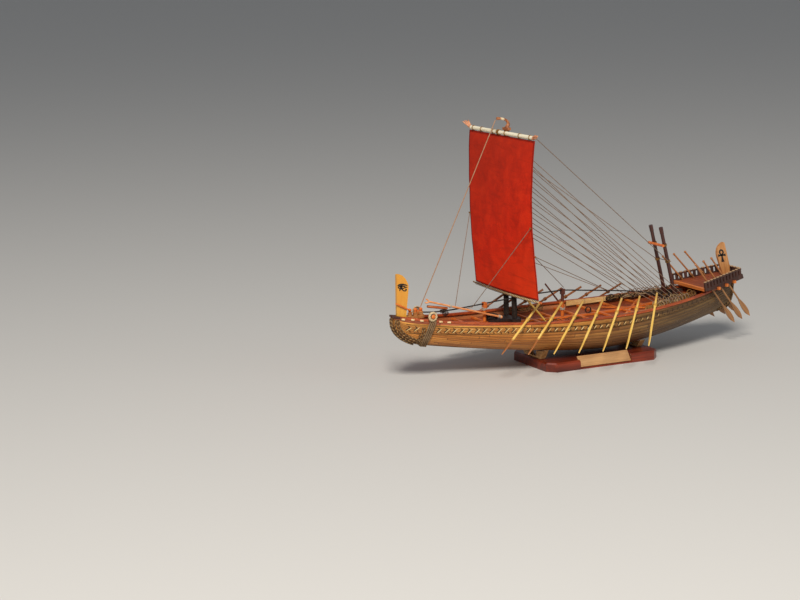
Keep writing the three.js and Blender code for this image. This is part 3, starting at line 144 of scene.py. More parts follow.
class Nodes:
    """A node tree that one method fills."""

    def __init__(self, tree):
        self.tree = tree

    def node(self, kind, settings=None, values=None, out=0):
        made = self.tree.nodes.new(kind)
        for name, value in (settings or {}).items():
            if name == "stops":
                set_stops(made.color_ramp, value)
            else:
                setattr(made, name, value)
        for key, value in (values or {}).items():
            if isinstance(value, Wire):
                self.tree.links.new(value.socket, made.inputs[key])
            else:
                made.inputs[key].default_value = value
        return Wire(self, made.outputs[out])

    def vector(self, x, y, z):
        return self.node("ShaderNodeCombineXYZ", None, {0: x, 1: y, 2: z})

    def mix(self, share, first, second):
        """From the first colour to the second; the second may be a paint chart's code."""
        if isinstance(second, str):
            second = tone(second)
        return self.node("ShaderNodeMix", {"data_type": "RGBA"}, {0: share, 6: first, 7: second}, 2)


def set_stops(ramp, stops):
    while len(ramp.elements) < len(stops):
        ramp.elements.new(0.5)
    for element, (position, colour) in zip(ramp.elements, stops):
        element.position, element.color = position, tone(colour)


def tone(code, alpha=1.0):
    """A colour that is written as on a paint chart, turned into the shader's linear values."""
    parts = [int(code[i : i + 2], 16) / 255 for i in (1, 3, 5)]
    return (*[c / 12.92 if c < 0.04045 else ((c + 0.055) / 1.055) ** 2.4 for c in parts], alpha)


# %% [markdown]
# A finish is one material. It knows where a point lies in millimetres, can measure along any
# direction of the piece, and paints the shader at the end. Wood is cut along its grain, so its
# pattern is long that way and short across: a broad figure, streaks, and fine pores.


# %% Finishes
class Finish(Nodes):
    """A material, with the point of the piece in millimetres at hand."""

    def __init__(self, name):
        self.material = bpy.data.materials.new(name)
        self.material.use_nodes = True
        super().__init__(self.material.node_tree)
        self.shader = self.tree.nodes["Principled BSDF"]
        point = self.node("ShaderNodeTexCoord", out="Object")
        self.point = self.node("ShaderNodeVectorMath", {"operation": "SCALE"}, {0: point, "Scale": 1 / MM})

    def along(self, direction):
        values = {0: self.point, 1: direction}
        return self.node("ShaderNodeVectorMath", {"operation": "DOT_PRODUCT"}, values, "Value")

    def everywhere(self, scale, ways=(AFT, STARBOARD, UP)):
        """The point in three directions, for a pattern that has no grain."""
        return self.vector(*(self.along(way) * scale for way in ways))

    def flat_map(self, name):
        """The mesh's own map: the result is its first number, and out("Y") its second."""
        return self.node("ShaderNodeSeparateXYZ", None, {0: self.node("ShaderNodeUVMap", {"uv_map": name})})

    def noise(self, where, detail=2.0, rough=0.5, warp=0.0):
        values = {"Vector": where, "Scale": 1.0, "Detail": detail, "Roughness": rough, "Distortion": warp}
        return self.node("ShaderNodeTexNoise", None, values)

    def random(self, number):
        return self.node("ShaderNodeTexWhiteNoise", {"noise_dimensions": "1D"}, {"W": number})

    def ramp(self, share, *stops):
        """Colours by a share: each stop is a place from 0 to 1 and a paint chart's code."""
        return self.node("ShaderNodeValToRGB", {"stops": stops}, {0: share})

    def rise(self, value, low, high, **settings):
        """0 where value is low, 1 where it is high, and a slope between them."""
        return self.node("ShaderNodeMapRange", settings, {0: value, 1: low, 2: high})

    def band(self, value, low, high, soft=0.1):
        """1 where value lies between low and high, and 0 outside."""
        start = self.rise(value, low - soft, low + soft)
        return start * self.rise(value, high + soft, high - soft)

    def paint(self, colour, rough, height=None, depth=0.1, **fixed):
        shader = self.shader.inputs
        for name, value in (("Base Color", colour), ("Roughness", rough)):
            if isinstance(value, Wire):
                self.tree.links.new(value.socket, shader[name])
            else:
                shader[name].default_value = value
        if height is not None:
            values = {"Height": height, "Distance": depth * MM, "Strength": 1.0}
            bump = self.node("ShaderNodeBump", None, values)
            self.tree.links.new(bump.socket, shader["Normal"])
        for name, value in fixed.items():
            shader[name.replace("_", " ")].default_value = value
        return self


def three_ways(direction):
    """This direction, and two more that are square to it and to each other, all of length 1."""
    axis = Vector(direction).normalized()
    across = axis.orthogonal().normalized()
    return axis, across, axis.cross(across)


def ring_point(centre, ways, along, angle, radius):
    """A point beside an axis: so far along it, at this angle and radius."""
    axis, across, other = ways
    return Vector(centre) + axis * along + (across * math.cos(angle) + other * math.sin(angle)) * radius


def wood(name, pale, mid, deep, along=AFT, coarse=1.0, seed=0.0):
    """A finish with .colour, .grain and .pores, ready to be changed and painted."""
    finish = Finish(name)
    u, v, w = (finish.along(way) for way in three_ways(along))
    place = finish.vector(u * (0.025 / coarse) + seed, v * (0.3 / coarse), w * (0.3 / coarse))
    figure = finish.noise(place, 3, warp=0.7)
    place = finish.vector(u * (0.06 / coarse) - seed, v * (1.7 / coarse), w * (1.7 / coarse))
    streak = finish.noise(place, 3)
    pores = finish.noise(finish.vector(u * 0.5, v * 7, w * 7), 1)
    finish.grain = figure * 0.45 + streak * 0.4 + pores * 0.15
    finish.pores = streak * 0.5 + pores * 0.5
    finish.colour = finish.ramp(finish.grain, (0.34, deep), (0.5, mid), (0.66, pale))
    return finish


def plain_wood(name, pale, mid, deep, rough=0.5, depth=0.08, along=AFT, coarse=1.0, **fixed):
    finish = wood(name, pale, mid, deep, along, coarse)
    return finish.paint(finish.colour, finish.grain * -0.15 + rough + 0.07, finish.pores, depth, **fixed)


def dress(finish, *names):
    for name in names:
        for slot in frame["nodes"][name].material_slots:
            slot.material = finish.material


def piece(name, mesh, finish, body="ship"):
    """A new piece of the ship: a mesh that is already in place."""
    made = add_object(name, mesh)
    mesh.materials.clear()
    mesh.materials.append(finish.material)
    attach(made, body)
    return made


# %% [markdown]
# The hull's lines are four short formulas: the height of the cap rail, the half breadth, the keel,
# and a rounded section between them. Everything that lies on the hull is placed by these, so that
# it touches the planks on both sides of the ship.

# %% Hull lines
STEM, STERN = -183.7, 151.0
RAIL_LOWEST, WIDEST, DEEPEST = 1.4, -10.1, 6.2
# Where the keel curves up into each end: start, length, direction and rise.
ENDS = {"stem": (-160.7, 23.0, -1, 15.3), "stern": (143.0, 8.0, 1, 12.5)}


def far_share(x, middle):
    """0 in the middle, 1 at the ship's end on that side."""
    return abs(x - middle) / (middle - STEM if x < middle else STERN - middle)


def rail_z(x):
    far = far_share(x, RAIL_LOWEST)
    return 43.9 + (12.7 * far**2.65 if x < RAIL_LOWEST else 11.7 * far**1.95)


def half_breadth(x):
    near = (x - STEM) / (WIDEST - STEM) if x < WIDEST else (STERN - x) / (STERN - WIDEST)
    return 3.4 + 36.6 * math.sin(min(max(near, 0), 1) * math.pi / 2) ** (1.1 if x < WIDEST else 0.8)


def keel_z(x):
    far = far_share(x, DEEPEST)
    z = 9.6 + (25.6 * far**1.4 if x < DEEPEST else 23.4 * far**1.7)
    for start, span, way, climb in ENDS.values():
        share = min(max((x - start) * way / span, 0), 1)
        z += climb * (1 - math.sqrt(1 - share**2))
    return z


def hull_point(x, share, inset=0.0, side=-1):
    """A point of the planking, by the angle round the section: 0 at the keel, 1 under the cap rail."""
    half = half_breadth(x) - inset
    first = math.asin((1.8 / half) ** 1.1)
    angle = first + (math.pi / 2 - first) * share
    top = rail_z(x) - 2.0
    drop = (top - keel_z(x) - inset) * max(math.cos(angle), 0) ** (1 / 1.1)
    return Vector((x, side * half * math.sin(angle) ** (1 / 1.1), top - drop))


def hull_along(x, share, side):
    """A step of 1 mm towards the stern on the planking."""
    return hull_point(x + 0.5, share, 0, side) - hull_point(x - 0.5, share, 0, side)


def hull_out(x, share, side=-1):
    """The direction straight out of the planking there."""
    upper = min(share + 0.01, 1)
    round_it = hull_point(x, upper, 0, side) - hull_point(x, upper - 0.02, 0, side)
    return (hull_along(x, share, side).cross(round_it) * -side).normalized()


def on_hull(x, share, side, lift):
    return hull_point(x, share, 0, side) + hull_out(x, share, side) * lift


def share_at(x, z):
    """How far round the section a height lies."""
    low, high = 0.0, 1.0
    for _ in range(24):
        middle = (low + high) / 2
        low, high = (middle, high) if hull_point(x, middle).z < z else (low, middle)
    return low


def deck_z(x):
    return rail_z(x) - 6.6 + 3.4 * ((x + 16.35) / 167.35) ** 2


def beam_z(x):
    return deck_z(x) + 1.9


print("rail", round(rail_z(0), 1), "half breadth", round(half_breadth(0), 1), "keel", round(keel_z(0), 1))

# %% [markdown]
# Rope is laid, not extruded: two or three strands twist round each other. A Geometry Nodes tree
# makes that from a bare line. It spaces points along the line, turns them steadily (the tilt), and
# sweeps a lobed ring along them. The ring keeps how deep its grooves are, and the rope's finish
# paints shade into them.


# %% A tree that lays rope
def geometry_tree(name, **sockets):
    tree = bpy.data.node_groups.new(name, "GeometryNodeTree")
    tree.interface.new_socket("Geometry", in_out="OUTPUT", socket_type="NodeSocketGeometry")
    tree.interface.new_socket("Geometry", in_out="INPUT", socket_type="NodeSocketGeometry")
    for label, kind in sockets.items():
        tree.interface.new_socket(label, in_out="INPUT", socket_type="NodeSocket" + kind)
    nodes = Nodes(tree)
    return nodes, nodes.node("NodeGroupInput")


def end_tree(nodes, geometry, finish):
    real = nodes.node("GeometryNodeRealizeInstances", None, {"Geometry": geometry})
    made = nodes.node("GeometryNodeSetMaterial", None, {"Geometry": real, "Material": finish})
    nodes.tree.links.new(made.socket, nodes.tree.nodes.new("NodeGroupOutput").inputs[0])
    return nodes.tree


def lay_tree():
    sockets = {"Diameter": "Float", "Lay": "Float", "Strands": "Int", "Step": "Float", "Finish": "Material"}
    nodes, start = geometry_tree("laid_rope", **sockets)

    def mark(geometry, name, value):
        values = {"Geometry": geometry, "Name": name, "Value": value}
        return nodes.node("GeometryNodeStoreNamedAttribute", None, values)

    line = nodes.node("GeometryNodeMeshToCurve", None, {"Mesh": start.out("Geometry")})
    values = {"Curve": line, "Length": start.out("Step")}
    spaced = nodes.node("GeometryNodeResampleCurve", {"mode": "LENGTH"}, values)
    passed = nodes.node("GeometryNodeSplineParameter", out="Length")
    values = {"Curve": spaced, "Tilt": passed / start.out("Lay") * math.tau}
    turned = nodes.node("GeometryNodeSetCurveTilt", None, values)
    sides = start.out("Strands") * 4
    values = {"Resolution": sides, "Radius": start.out("Diameter") * 0.5}
    ring = nodes.node("GeometryNodeCurvePrimitiveCircle", None, values)
    around = nodes.node("GeometryNodeSplineParameter", out="Factor")
    groove = (1 - (around * start.out("Strands") * math.tau).math("COSINE")) * 0.5
    place = nodes.node("GeometryNodeInputPosition")
    pulled = nodes.node("ShaderNodeVectorMath", {"operation": "SCALE"}, {0: place, "Scale": 1 - groove * 0.26})
    lobed = nodes.node("GeometryNodeSetPosition", None, {"Geometry": ring, "Position": pulled})
    marked = mark(lobed, "groove", groove)
    strand = (around * start.out("Strands") + 0.5).math("FLOOR").math("MODULO", 2.0)
    marked = mark(marked, "strand", strand)
    values = {"Curve": turned, "Profile Curve": marked, "Fill Caps": True}
    swept = nodes.node("GeometryNodeCurveToMesh", None, values)
    smooth = nodes.node("GeometryNodeSetShadeSmooth", None, {"Geometry": swept})
    return end_tree(nodes, smooth, start.out("Finish"))


def grow(tree, source, **values):
    """Runs a tree on a mesh and returns the plain mesh that it makes."""
    seedling = add_object("seedling", source)
    modifier = seedling.modifiers.new("grow", "NODES")
    modifier.node_group = tree
    for item in tree.interface.items_tree:
        if item.in_out == "INPUT" and item.name in values:
            modifier[item.identifier] = values[item.name]
    grown = seedling.evaluated_get(bpy.context.evaluated_depsgraph_get())
    mesh = bpy.data.meshes.new_from_object(grown)
    bpy.data.objects.remove(seedling)
    return mesh


def line_mesh(routes):
    """Bare lines, one for each route of points in millimetres."""
    points, edges = [], []
    for route in routes:
        edges += [(len(points) + i, len(points) + i + 1) for i in range(len(route) - 1)]
        points += [Vector(p) * MM for p in route]
    return new_mesh("line", points, edges, [])


rope_tree = lay_tree()
print("rope tree:", len(rope_tree.nodes), "nodes")

# %% [markdown]
# Rope is dull and fibrous. Its finish mixes two tones along its length, paints shade into the
# grooves between the strands, and adds a fine bump for the fibres. Every rope shares this recipe
# and differs in its colours.


# %% Rope finishes
def rope_finish(name, pale, deep, groove_shade="#241a13", second=None):
    finish = Finish(name)
    mottle = finish.noise(finish.everywhere(0.35), 4)
    fibre = finish.noise(finish.everywhere(6.0, ((1, 0.2, 0), (0, 1, 0.3), (0.3, 0, 1))), 2)
    groove = finish.node("ShaderNodeAttribute", {"attribute_name": "groove"}, out="Fac")
    share = mottle * 0.6 + fibre * 0.4
    colour = finish.ramp(share, (0.35, deep), (0.65, pale))
    if second:
        strand = finish.node("ShaderNodeAttribute", {"attribute_name": "strand"}, out="Fac")
        other = finish.ramp(share, (0.35, second[1]), (0.65, second[0]))
        colour = finish.mix(strand, colour, other)
    # Painted shade: the grooves between the strands are darkened.
    colour = finish.mix(groove * 0.55, colour, tone(groove_shade))
    return finish.paint(colour, 0.9, fibre, 0.12, Specular_IOR_Level=0.25)


thread_brown = rope_finish("thread_brown", "#b89c86", "#8c725e")
thread_pink = rope_finish("thread_pink", "#d9ab88", "#b58a69")
thread_dark = rope_finish("thread_dark", "#54443a", "#2c221c", "#120d0a")
thread_white = rope_finish("thread_white", "#efe9da", "#c7bba3", "#6d5f4c")
thread_gold = rope_finish("thread_gold", "#c3914e", "#84592b")
thread_umber = rope_finish("thread_umber", "#8a6038", "#553823")
thread_straw = rope_finish("thread_straw", "#dbc097", "#a9875a", "#4d3822")
thread_pale = rope_finish("thread_pale", "#c9a06c", "#8f693e", "#3d2a1a")
bitt_gold = rope_finish("bitt_gold", "#efae6c", "#c27838", "#552a16")
oar_pale = rope_finish("oar_pale", "#efcb78", "#d0a24c", "#a67c38")
oar_brown = rope_finish("oar_brown", "#9b6436", "#7b4c27", "#573319")
truss_black = rope_finish("truss_black", "#453c39", "#221c1b", "#0c0908")
girdle_tan = rope_finish("girdle_tan", "#b3926c", "#7b6045", "#33251a")
ring_pale = rope_finish("ring_pale", "#f0dcb4", "#cdb185", "#8d7450")
braid = rope_finish("braid", "#c09a68", "#86643e", "#2a1b10", ("#7b5c40", "#49331f"))


def ease(points, radius):
    """The same route with each corner rounded off."""
    points = [Vector(p) for p in points]
    route = [points[0]]
    for before, corner, after in zip(points, points[1:], points[2:]):
        near = corner.lerp(before, min(radius, (before - corner).length * 0.45) / (before - corner).length)
        away = corner.lerp(after, min(radius, (after - corner).length * 0.45) / (after - corner).length)
        for t in (0, 0.25, 0.5, 0.75, 1):
            route.append(near.lerp(corner, t).lerp(corner.lerp(away, t), t))
    return [*route, points[-1]]


def length_of(route):
    return sum((b - a).length for a, b in zip(route, route[1:]))


def lines(name, routes, diameter, finish, strands=2, lay=3.4, body="ship", slot="thread"):
    """Rope along one or more routes, as one piece."""
    values = {"Diameter": diameter * MM, "Lay": lay * diameter * MM, "Strands": strands}
    values["Finish"] = finish.material
    mesh = grow(rope_tree, line_mesh(routes), Step=abs(lay) * diameter * MM / (3.2 * strands), **values)
    return piece(name, mesh, finish, body)


cords = []


def rope(name, route, diameter, finish, lie="taut", node=None, slot="thread", **more):
    """A rope of one route, which may stand for a CAD node."""
    made = lines(name, [route], diameter, finish, slot=slot, **more)
    if node:
        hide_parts(node)
    path = [tuple(p * MM) for p in route]
    long = length_of(route)
    values = {"exit": path[0], "length": long * MM, "diameter": diameter * MM}
    values |= {"far_end": "object", "path": path}
    cords.append((name, round(long), diameter))
    return made


# %% [markdown]
# The ship's own lines are taut and made fast at both ends. Their routes are the ones that the hard
# frame keeps clear of the spars and oars: the forestay, the backstays that one long line makes in
# eight turns round the mast, the braces of the yard, the bowlines, the sheets, and the thick truss
# rope that keeps the hull from sagging at its ends.

# %% Lines of the rigging
YARD_X, YARD_Z = -81.7, 198.2
SAIL_TOP, SAIL_HALF, BOOM_HALF, FOOT_LIFT = 196.05, 53, 56, 1.45
SHEET_Z, BOWLINE_Z = 102.5, 126  # where these lines meet the sail's edges
MAST_FOOT, MAST_HEIGHT = 43.7, 155.9
GALLOWS_X, GALLOWS_RAKE, GALLOWS_TOP, GALLOWS_HALF = 87.4, 16.8, 108.4, 7.6
TRUSS_POINTS = [
    (-155.6, 56.4), (-145, 55.4), (-128, 55.6), (-98.5, 57.8), (-80, 59.2), (-48, 61.2),
    (-23, 61.8), (-6, 60), (18, 57.5), (38, 55.2), (58, 52.6), (79, 46.4),
]


def boom_z(y):
    return 65.4 - 1.2 * (1 - (y / BOOM_HALF) ** 2)


def sail_point(s, t):
    """A point of the sail: s from port to starboard, t from the yard down."""
    y = (SAIL_HALF - 1.5 * t) * (2 * s - 1)
    foot = boom_z(min(abs(y), BOOM_HALF)) + FOOT_LIFT
    belly = (4.3 - 1.6 * s + 0.8 * math.sin(math.pi * s)) * math.sin(math.pi * t**0.85)
    belly += 0.5 * math.sin(math.tau * s) * math.sin(math.tau * t)
    return Vector((YARD_X + 4.3 * t - belly, y, SAIL_TOP + (foot - SAIL_TOP) * t))


def mast_point(side, z):
    share = (z - MAST_FOOT) / MAST_HEIGHT
    return Vector((-73.6 - 3.2 * share, side * (7 - 5.1 * share), z))


def gallows_x(z):
    foot = deck_z(GALLOWS_X)
    return GALLOWS_X - GALLOWS_RAKE * (z - foot) / (GALLOWS_TOP - foot)


def truss_z(x):
    return float(np.interp(x, [p[0] for p in TRUSS_POINTS], [p[1] for p in TRUSS_POINTS]))


def under_truss(x, spread):
    """Three points that lead a line under the truss rope."""
    z = truss_z(x)
    return [Vector(p) for p in ((x - spread, -2.04, z), (x, 0, z - 1.53), (x + spread, 2.04, z))]


def leech(z, side, face):
    """A point just inside the sail's edge, on its fore or after face."""
    edge = sail_point(0 if side < 0 else 1, (SAIL_TOP - z) / (SAIL_TOP - boom_z(BOOM_HALF) - FOOT_LIFT))
    return Vector((edge.x + face * 1.35, edge.y - side, z))


def hitch(x, side):
    """Where a backstay is made fast at the deck's side."""
    return Vector((x, side * (half_breadth(x) - 8), beam_z(x) + 0.95))


def hank(side, loops=8, pitch=3.8, steps=12):
    """The backstays' spare line, put away in loops inside a cap rail."""
    route = []
    for i in range(loops * steps + 1):
        angle = math.tau * i / steps
        x = 61 + pitch * i / steps
        y = half_breadth(x) - 5.0 - 1.75 * math.cos(angle)
        route.append(Vector((x, side * y, rail_z(x) + 0.8 - side * 2.9 * math.sin(angle))))
    return route


def backstay_route():
    route = [*hank(1), hitch(95, 1), hitch(95, -1)]
    for i in range(8):
        z, x, first = 192 - 68 * i / 7, 92 - 30 * i / 7, (-1 if i % 2 == 0 else 1)
        leg, clear = mast_point(1, z), 2.95
        loop = [(leg.x + 0.5, leg.y + clear), (leg.x - clear, leg.y + clear * 0.6)]
        loop += [(a, -b) for a, b in reversed(loop)]
        loop = [Vector((a, b, z)) for a, b in loop]
        route += [hitch(x, first), *(loop if first > 0 else loop[::-1]), hitch(x, -first)]
    return [*route, *hank(-1)]


def brace_route():
    z = 78.5
    x = gallows_x(z)
    half = [(-79.3, 49.5, YARD_Z), (x - 0.4, 10.1, z), (x + 2.65, 8.85, z - 0.4)]
    return [Vector((a, -b, c)) for a, b, c in half] + [Vector(p) for p in reversed(half)]


rope("backstay_line", ease(backstay_route(), 0.7), 0.7, thread_brown, node="backstays")
forestay_route = [Vector((-87.4, 0, 208.6)), Vector((-158, 0, 61.1))]
rope("forestay_line", forestay_route, 0.9, thread_pink, node="forestay", strands=3)
rope("yard_brace_line", ease(brace_route(), 0.6), 0.7, thread_brown, node="yard_braces")
bow_route = [leech(BOWLINE_Z, -1, -1), *under_truss(-118, -7), leech(BOWLINE_Z, 1, -1)]
rope("bowline", ease(bow_route, 0.6), 0.7, thread_brown, node="bowlines")
sheet_route = [leech(SHEET_Z, -1, 1), *under_truss(22, 0), leech(SHEET_Z, 1, 1)]
rope("sheet_line", ease(sheet_route, 0.6), 0.7, thread_brown, node="sheets")
truss_route = ease([Vector((x, 0, z)) for x, z in TRUSS_POINTS], 6)
rope("truss_rope", truss_route, 1.25, truss_black, node="hogging_truss", slot="brown_rope", strands=3)
print("rigging:", sum(long for _, long, _ in cords), "mm of rope")

# %% [markdown]
# The girdle is a strop: one rope that runs round the bow four times, side by side, and turns round
# a pin above each rail. The tracks spread at the pins and lie close below them. In front of each
# turn a thick pale ring holds the strop on its pin, and the pin stands on the rail in a small block.

# %% Girdle
GIRDLE_FOOT_X, GIRDLE_LEAN, GIRDLE_ROPE = -156.2, 2.0, 1.35


def girdle_x(share):
    """The strop leans aft as it rises, and slips a little forward on the turn of the bilge."""
    foot, spot, top = (hull_point(GIRDLE_FOOT_X, s) for s in (0, share, 1))
    rise = (spot.z - foot.z) / (top.z - foot.z)
    return GIRDLE_FOOT_X + (GIRDLE_LEAN + 0.9) * rise - 4.0 * (spot.y / top.y - rise)


def pin_centre(side):
    x = GIRDLE_FOOT_X + GIRDLE_LEAN
    return Vector((x, side * (half_breadth(x) + 1.5), rail_z(x) + 3.1))


def girdle_half(track, side):
    """Down one side of the hull from the pin to the keel; track is its place across the strop."""
    top = pin_centre(side)
    route = [top + Vector((track * 1.55, 0, 0)), top + Vector((track * 1.25 + 0.6, side * -0.5, -2.9))]
    for i in range(13):
        share = 1 - i / 12
        x = girdle_x(share) + track
        route.append(on_hull(x, share, side, 0.45 + GIRDLE_ROPE / 2 + 0.7 * share**3))
    x = GIRDLE_FOOT_X + track
    keel = keel_z(x) - 0.8 - 0.35 - GIRDLE_ROPE / 2
    return [p for p in route if p.z > keel + 0.4] + [Vector((x, side * 0.9, keel))]


def girdle_turn(radius, side):
    """Round a pin, from the fore track to the after track."""
    angles = [math.pi * (1 - i / 10) for i in range(1, 10)]
    return [pin_centre(side) + Vector((math.cos(a) * radius, 0, math.sin(a) * radius)) for a in angles]


girdle_route = []
for track in (2.1, 0.72):
    girdle_route += girdle_turn(track * 1.55, -1) + girdle_half(track, -1) + girdle_half(track, 1)[::-1]
    girdle_route += girdle_turn(track * 1.55, 1)[::-1] + girdle_half(-track, 1) + girdle_half(-track, -1)[::-1]
girdle_route = ease(girdle_route, 0.5)
rope("girdle_strop", girdle_route, GIRDLE_ROPE, girdle_tan, node="girdle", slot="brown_rope", strands=3)


def lathe(centre, axis, profile, sides=16):
    """A turned piece: profile is (distance along the axis, radius)."""
    ways = three_ways(axis)
    points, faces = [], []
    for along, radius in profile:
        for k in range(sides):
            points.append(ring_point(centre, ways, along, math.tau * k / sides, radius) * MM)
    for i in range(len(profile) - 1):
        for k in range(sides):
            a, b = i * sides + k, i * sides + (k + 1) % sides
            faces.append((a, b, b + sides, a + sides))
    last = (len(profile) - 1) * sides
    faces += [tuple(range(sides))[::-1], tuple(last + k for k in range(sides))]
    return points, faces


def solid(name, parts):
    """One mesh from several lists of points and faces, in place."""
    points, faces = [], []
    for some_points, some_faces in parts:
        faces += [tuple(len(points) + i for i in face) for face in some_faces]
        points += some_points
    mesh = new_mesh(name, points, [], faces)
    mesh.shade_smooth()
    mesh.set_sharp_from_angle(angle=math.radians(42))
    return mesh


pin_wood = plain_wood("pin_wood", "#f2963f", "#dd7327", "#a54c16", 0.4, 0.05, STARBOARD, Coat_Weight=0.2)
PIN = [(-2.6, 0.9), (-2.5, 1.0), (1.6, 1.0), (1.7, 1.6), (2.0, 1.8), (2.3, 1.6), (2.5, 1.1), (2.55, 0.5)]
BLOCK = [(0, 1.5), (0.4, 1.6), (3.2, 1.5), (4.1, 1.2), (4.3, 0.8)]
RING_RADIUS = 3.1
pins = []
for side in (-1, 1):
    at = pin_centre(side)
    pins.append(lathe(at, (0, side, 0), PIN))
    base = Vector((at.x, side * (half_breadth(at.x) - 1.0), rail_z(at.x) + 0.02))
    pins.append(lathe(base, UP, BLOCK))
piece("girdle_pins", solid("pins", pins), pin_wood)
rings = []
for side in (-1, 1):
    centre = pin_centre(side) + Vector((0, side * 0.75, -0.1))
    circle = []
    for a in np.linspace(0, math.tau, 41):
        offset = Vector((math.sin(a) * RING_RADIUS, side * 0.25 * math.sin(a * 0.5), math.cos(a) * RING_RADIUS))
        circle.append(centre + offset)
    rings.append(circle)
lines("girdle_rings", rings, 2.3, ring_pale, strands=3, lay=2.6, slot="brown_rope")
print("girdle:", cords[-1][1], "mm of rope")

# %% [markdown]
# The sail is one sheet of dyed cloth, laced to the yard above and standing on the boom below. It
# bellies forward a little and its edges pull in between their fastenings. The mesh carries its own
# map, so that the weave follows the cloth. Small ripples come from a few sine waves, which a cloth
# held this tight shows better than a simulation would.

# %% Sail
ROWS, COLUMNS = 110, 90
THREADS = math.tau / 0.62
CLOTH_THICK = 0.45


def sail_cloth(s, t):
    point = sail_point(s, t)
    wave = 0.22 * math.sin(9 * t + 5 * s) + 0.15 * math.sin(23 * s + 3 * t) + 0.1 * math.sin(31 * t - 11 * s)
    point.x += wave * math.sin(math.pi * t) ** 0.5
    return point * MM


def cloth_mesh(name, surface, rows, columns, width, height):
    points = [surface(j / columns, i / rows) for i in range(rows + 1) for j in range(columns + 1)]
    faces = []
    for i in range(rows):
        for j in range(columns):
            a = i * (columns + 1) + j
            faces.append((a, a + columns + 1, a + columns + 2, a + 1))
    mesh = new_mesh(name, points, [], faces)
    layer = mesh.uv_layers.new(name="cloth")
    for loop in mesh.loops:
        i, j = divmod(loop.vertex_index, columns + 1)
        layer.data[loop.index].uv = (j / columns * width, i / rows * height)
    mesh.shade_smooth()
    return mesh


sail_height = length_of([sail_cloth(0.5, i / 60) / MM for i in range(61)])
cloth = Finish("red_sailcloth")
across = cloth.flat_map("cloth")
down = across.out("Y")
warp = (across * THREADS).math("SINE")
weft = (down * THREADS).math("SINE")
slub = cloth.noise(cloth.vector(across * 0.25, down * 2.2, 0.0), 3)
slub = slub + cloth.noise(cloth.vector(across * 2.2, down * 0.25, 4.0), 3)
mottle = cloth.noise(cloth.vector(across * 0.09, down * 0.07, 2.0), 6, 0.65, 0.4)
edge = 1 - cloth.band(across, 1.5, 104.5, 0.25) * cloth.band(down, 1.5, sail_height - 1.5, 0.25)
stitch = cloth.band(across, 1.35, 1.6, 0.08) + cloth.band(across, 104.4, 104.65, 0.08)
stitch = stitch * ((down * (math.tau / 1.6)).math("SINE") * 0.5 + 0.5)
colour = cloth.ramp(mottle * 0.7 + slub * 0.15, (0.33, "#c2220f"), (0.5, "#e22c10"), (0.66, "#f63a15"))
# Painted shade and light: the top of the sail, under the yard, and its starboard side are darkened, and its
# lower port part is brightened.
shade_axis = (down / sail_height) - across * 0.0035
painted_shade_top = cloth.rise(shade_axis + mottle * 0.3, 0.7, 0.0)
colour = cloth.mix(painted_shade_top * 0.62, colour, "#a32f1c")
painted_light_low = cloth.rise(shade_axis - mottle * 0.25, 0.35, 0.9)
colour = cloth.mix(painted_light_low * 0.75, colour, "#ff4a1c")
smudge = cloth.noise(cloth.vector(across * 0.04, down * 0.16, 7.0), 5, 0.7, 1.2)
smudge = cloth.rise(smudge, 0.5, 0.72)
colour = cloth.mix(smudge * 0.32, colour, "#7a1a0e")
colour = cloth.mix((warp * weft * 0.5 + 0.5) * 0.16, colour, "#6d0f0b")
colour = cloth.mix(edge * 0.6, colour, "#6a1008")
colour = cloth.mix(stitch * 0.7, colour, "#3c0a07")
cloth.paint(colour, 0.93, warp * 0.25 + weft * 0.25 + slub * 0.4 + edge * 1.2, 0.12, Specular_IOR_Level=0.12)
sail_mesh = cloth_mesh("sail", sail_cloth, ROWS, COLUMNS, 2 * SAIL_HALF, sail_height)
sail = piece("sail_cloth", sail_mesh, cloth)
thick = sail.modifiers.new("cloth", "SOLIDIFY")
thick.thickness, thick.offset = CLOTH_THICK * MM, 0
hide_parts("sail")
print("sail:", round(sail_height, 1), "mm high along the cloth")

# %% [markdown]
# The planking is drawn as the real strakes run: fourteen on each side, following the rail above and
# the keel below. A ring of points round the section gives each strake two soft edges and a slight
# crown, and leaves a groove between it and the next. The map on the mesh counts strakes across and
# millimetres along, so each plank can have its own tone and its own butt joints.

# %% Planking
STRAKES, SKIN = 14, 1.2
BAND_XS = [-177, -165, -150, -130, -110, -90, -60, 0, 64, 110, 140]
BAND_SHARES = [0.66, 0.77, 0.80, 0.84, 0.88, 0.905, 0.905, 0.90, 0.93, 0.95, 0.955]


def band_share(x):
    """Where the laced band's middle runs, round the section."""
    return float(np.interp(x, BAND_XS, BAND_SHARES))


def girth(x):
    ring = [hull_point(x, i / 12) for i in range(13)]
    return sum((b - a).length for a, b in zip(ring, ring[1:]))


def plank_ring(x, side):
    around = girth(x)
    middle = band_share(x)
    gap = 0.12 / around
    ring = []
    for k in range(STRAKES):
        low, high = k / STRAKES, (k + 1) / STRAKES
        strake = [
            (low + gap * 0.2, 0.16, k + 0.02), (low + gap, 0.03, k + 0.08), ((low + high) / 2, 0, k + 0.5),
            (high - gap, 0.03, k + 0.92), (high - gap * 0.2, 0.16, k + 0.98),
        ]
        for share, inset, mark in strake:
            ring.append((hull_point(x, share, inset, side), mark, (share - middle) * around))
    for k in range(STRAKES, -1, -1):
        ring.append((hull_point(x, k / STRAKES, SKIN, side), k + 20.0, 50.0))
    return ring


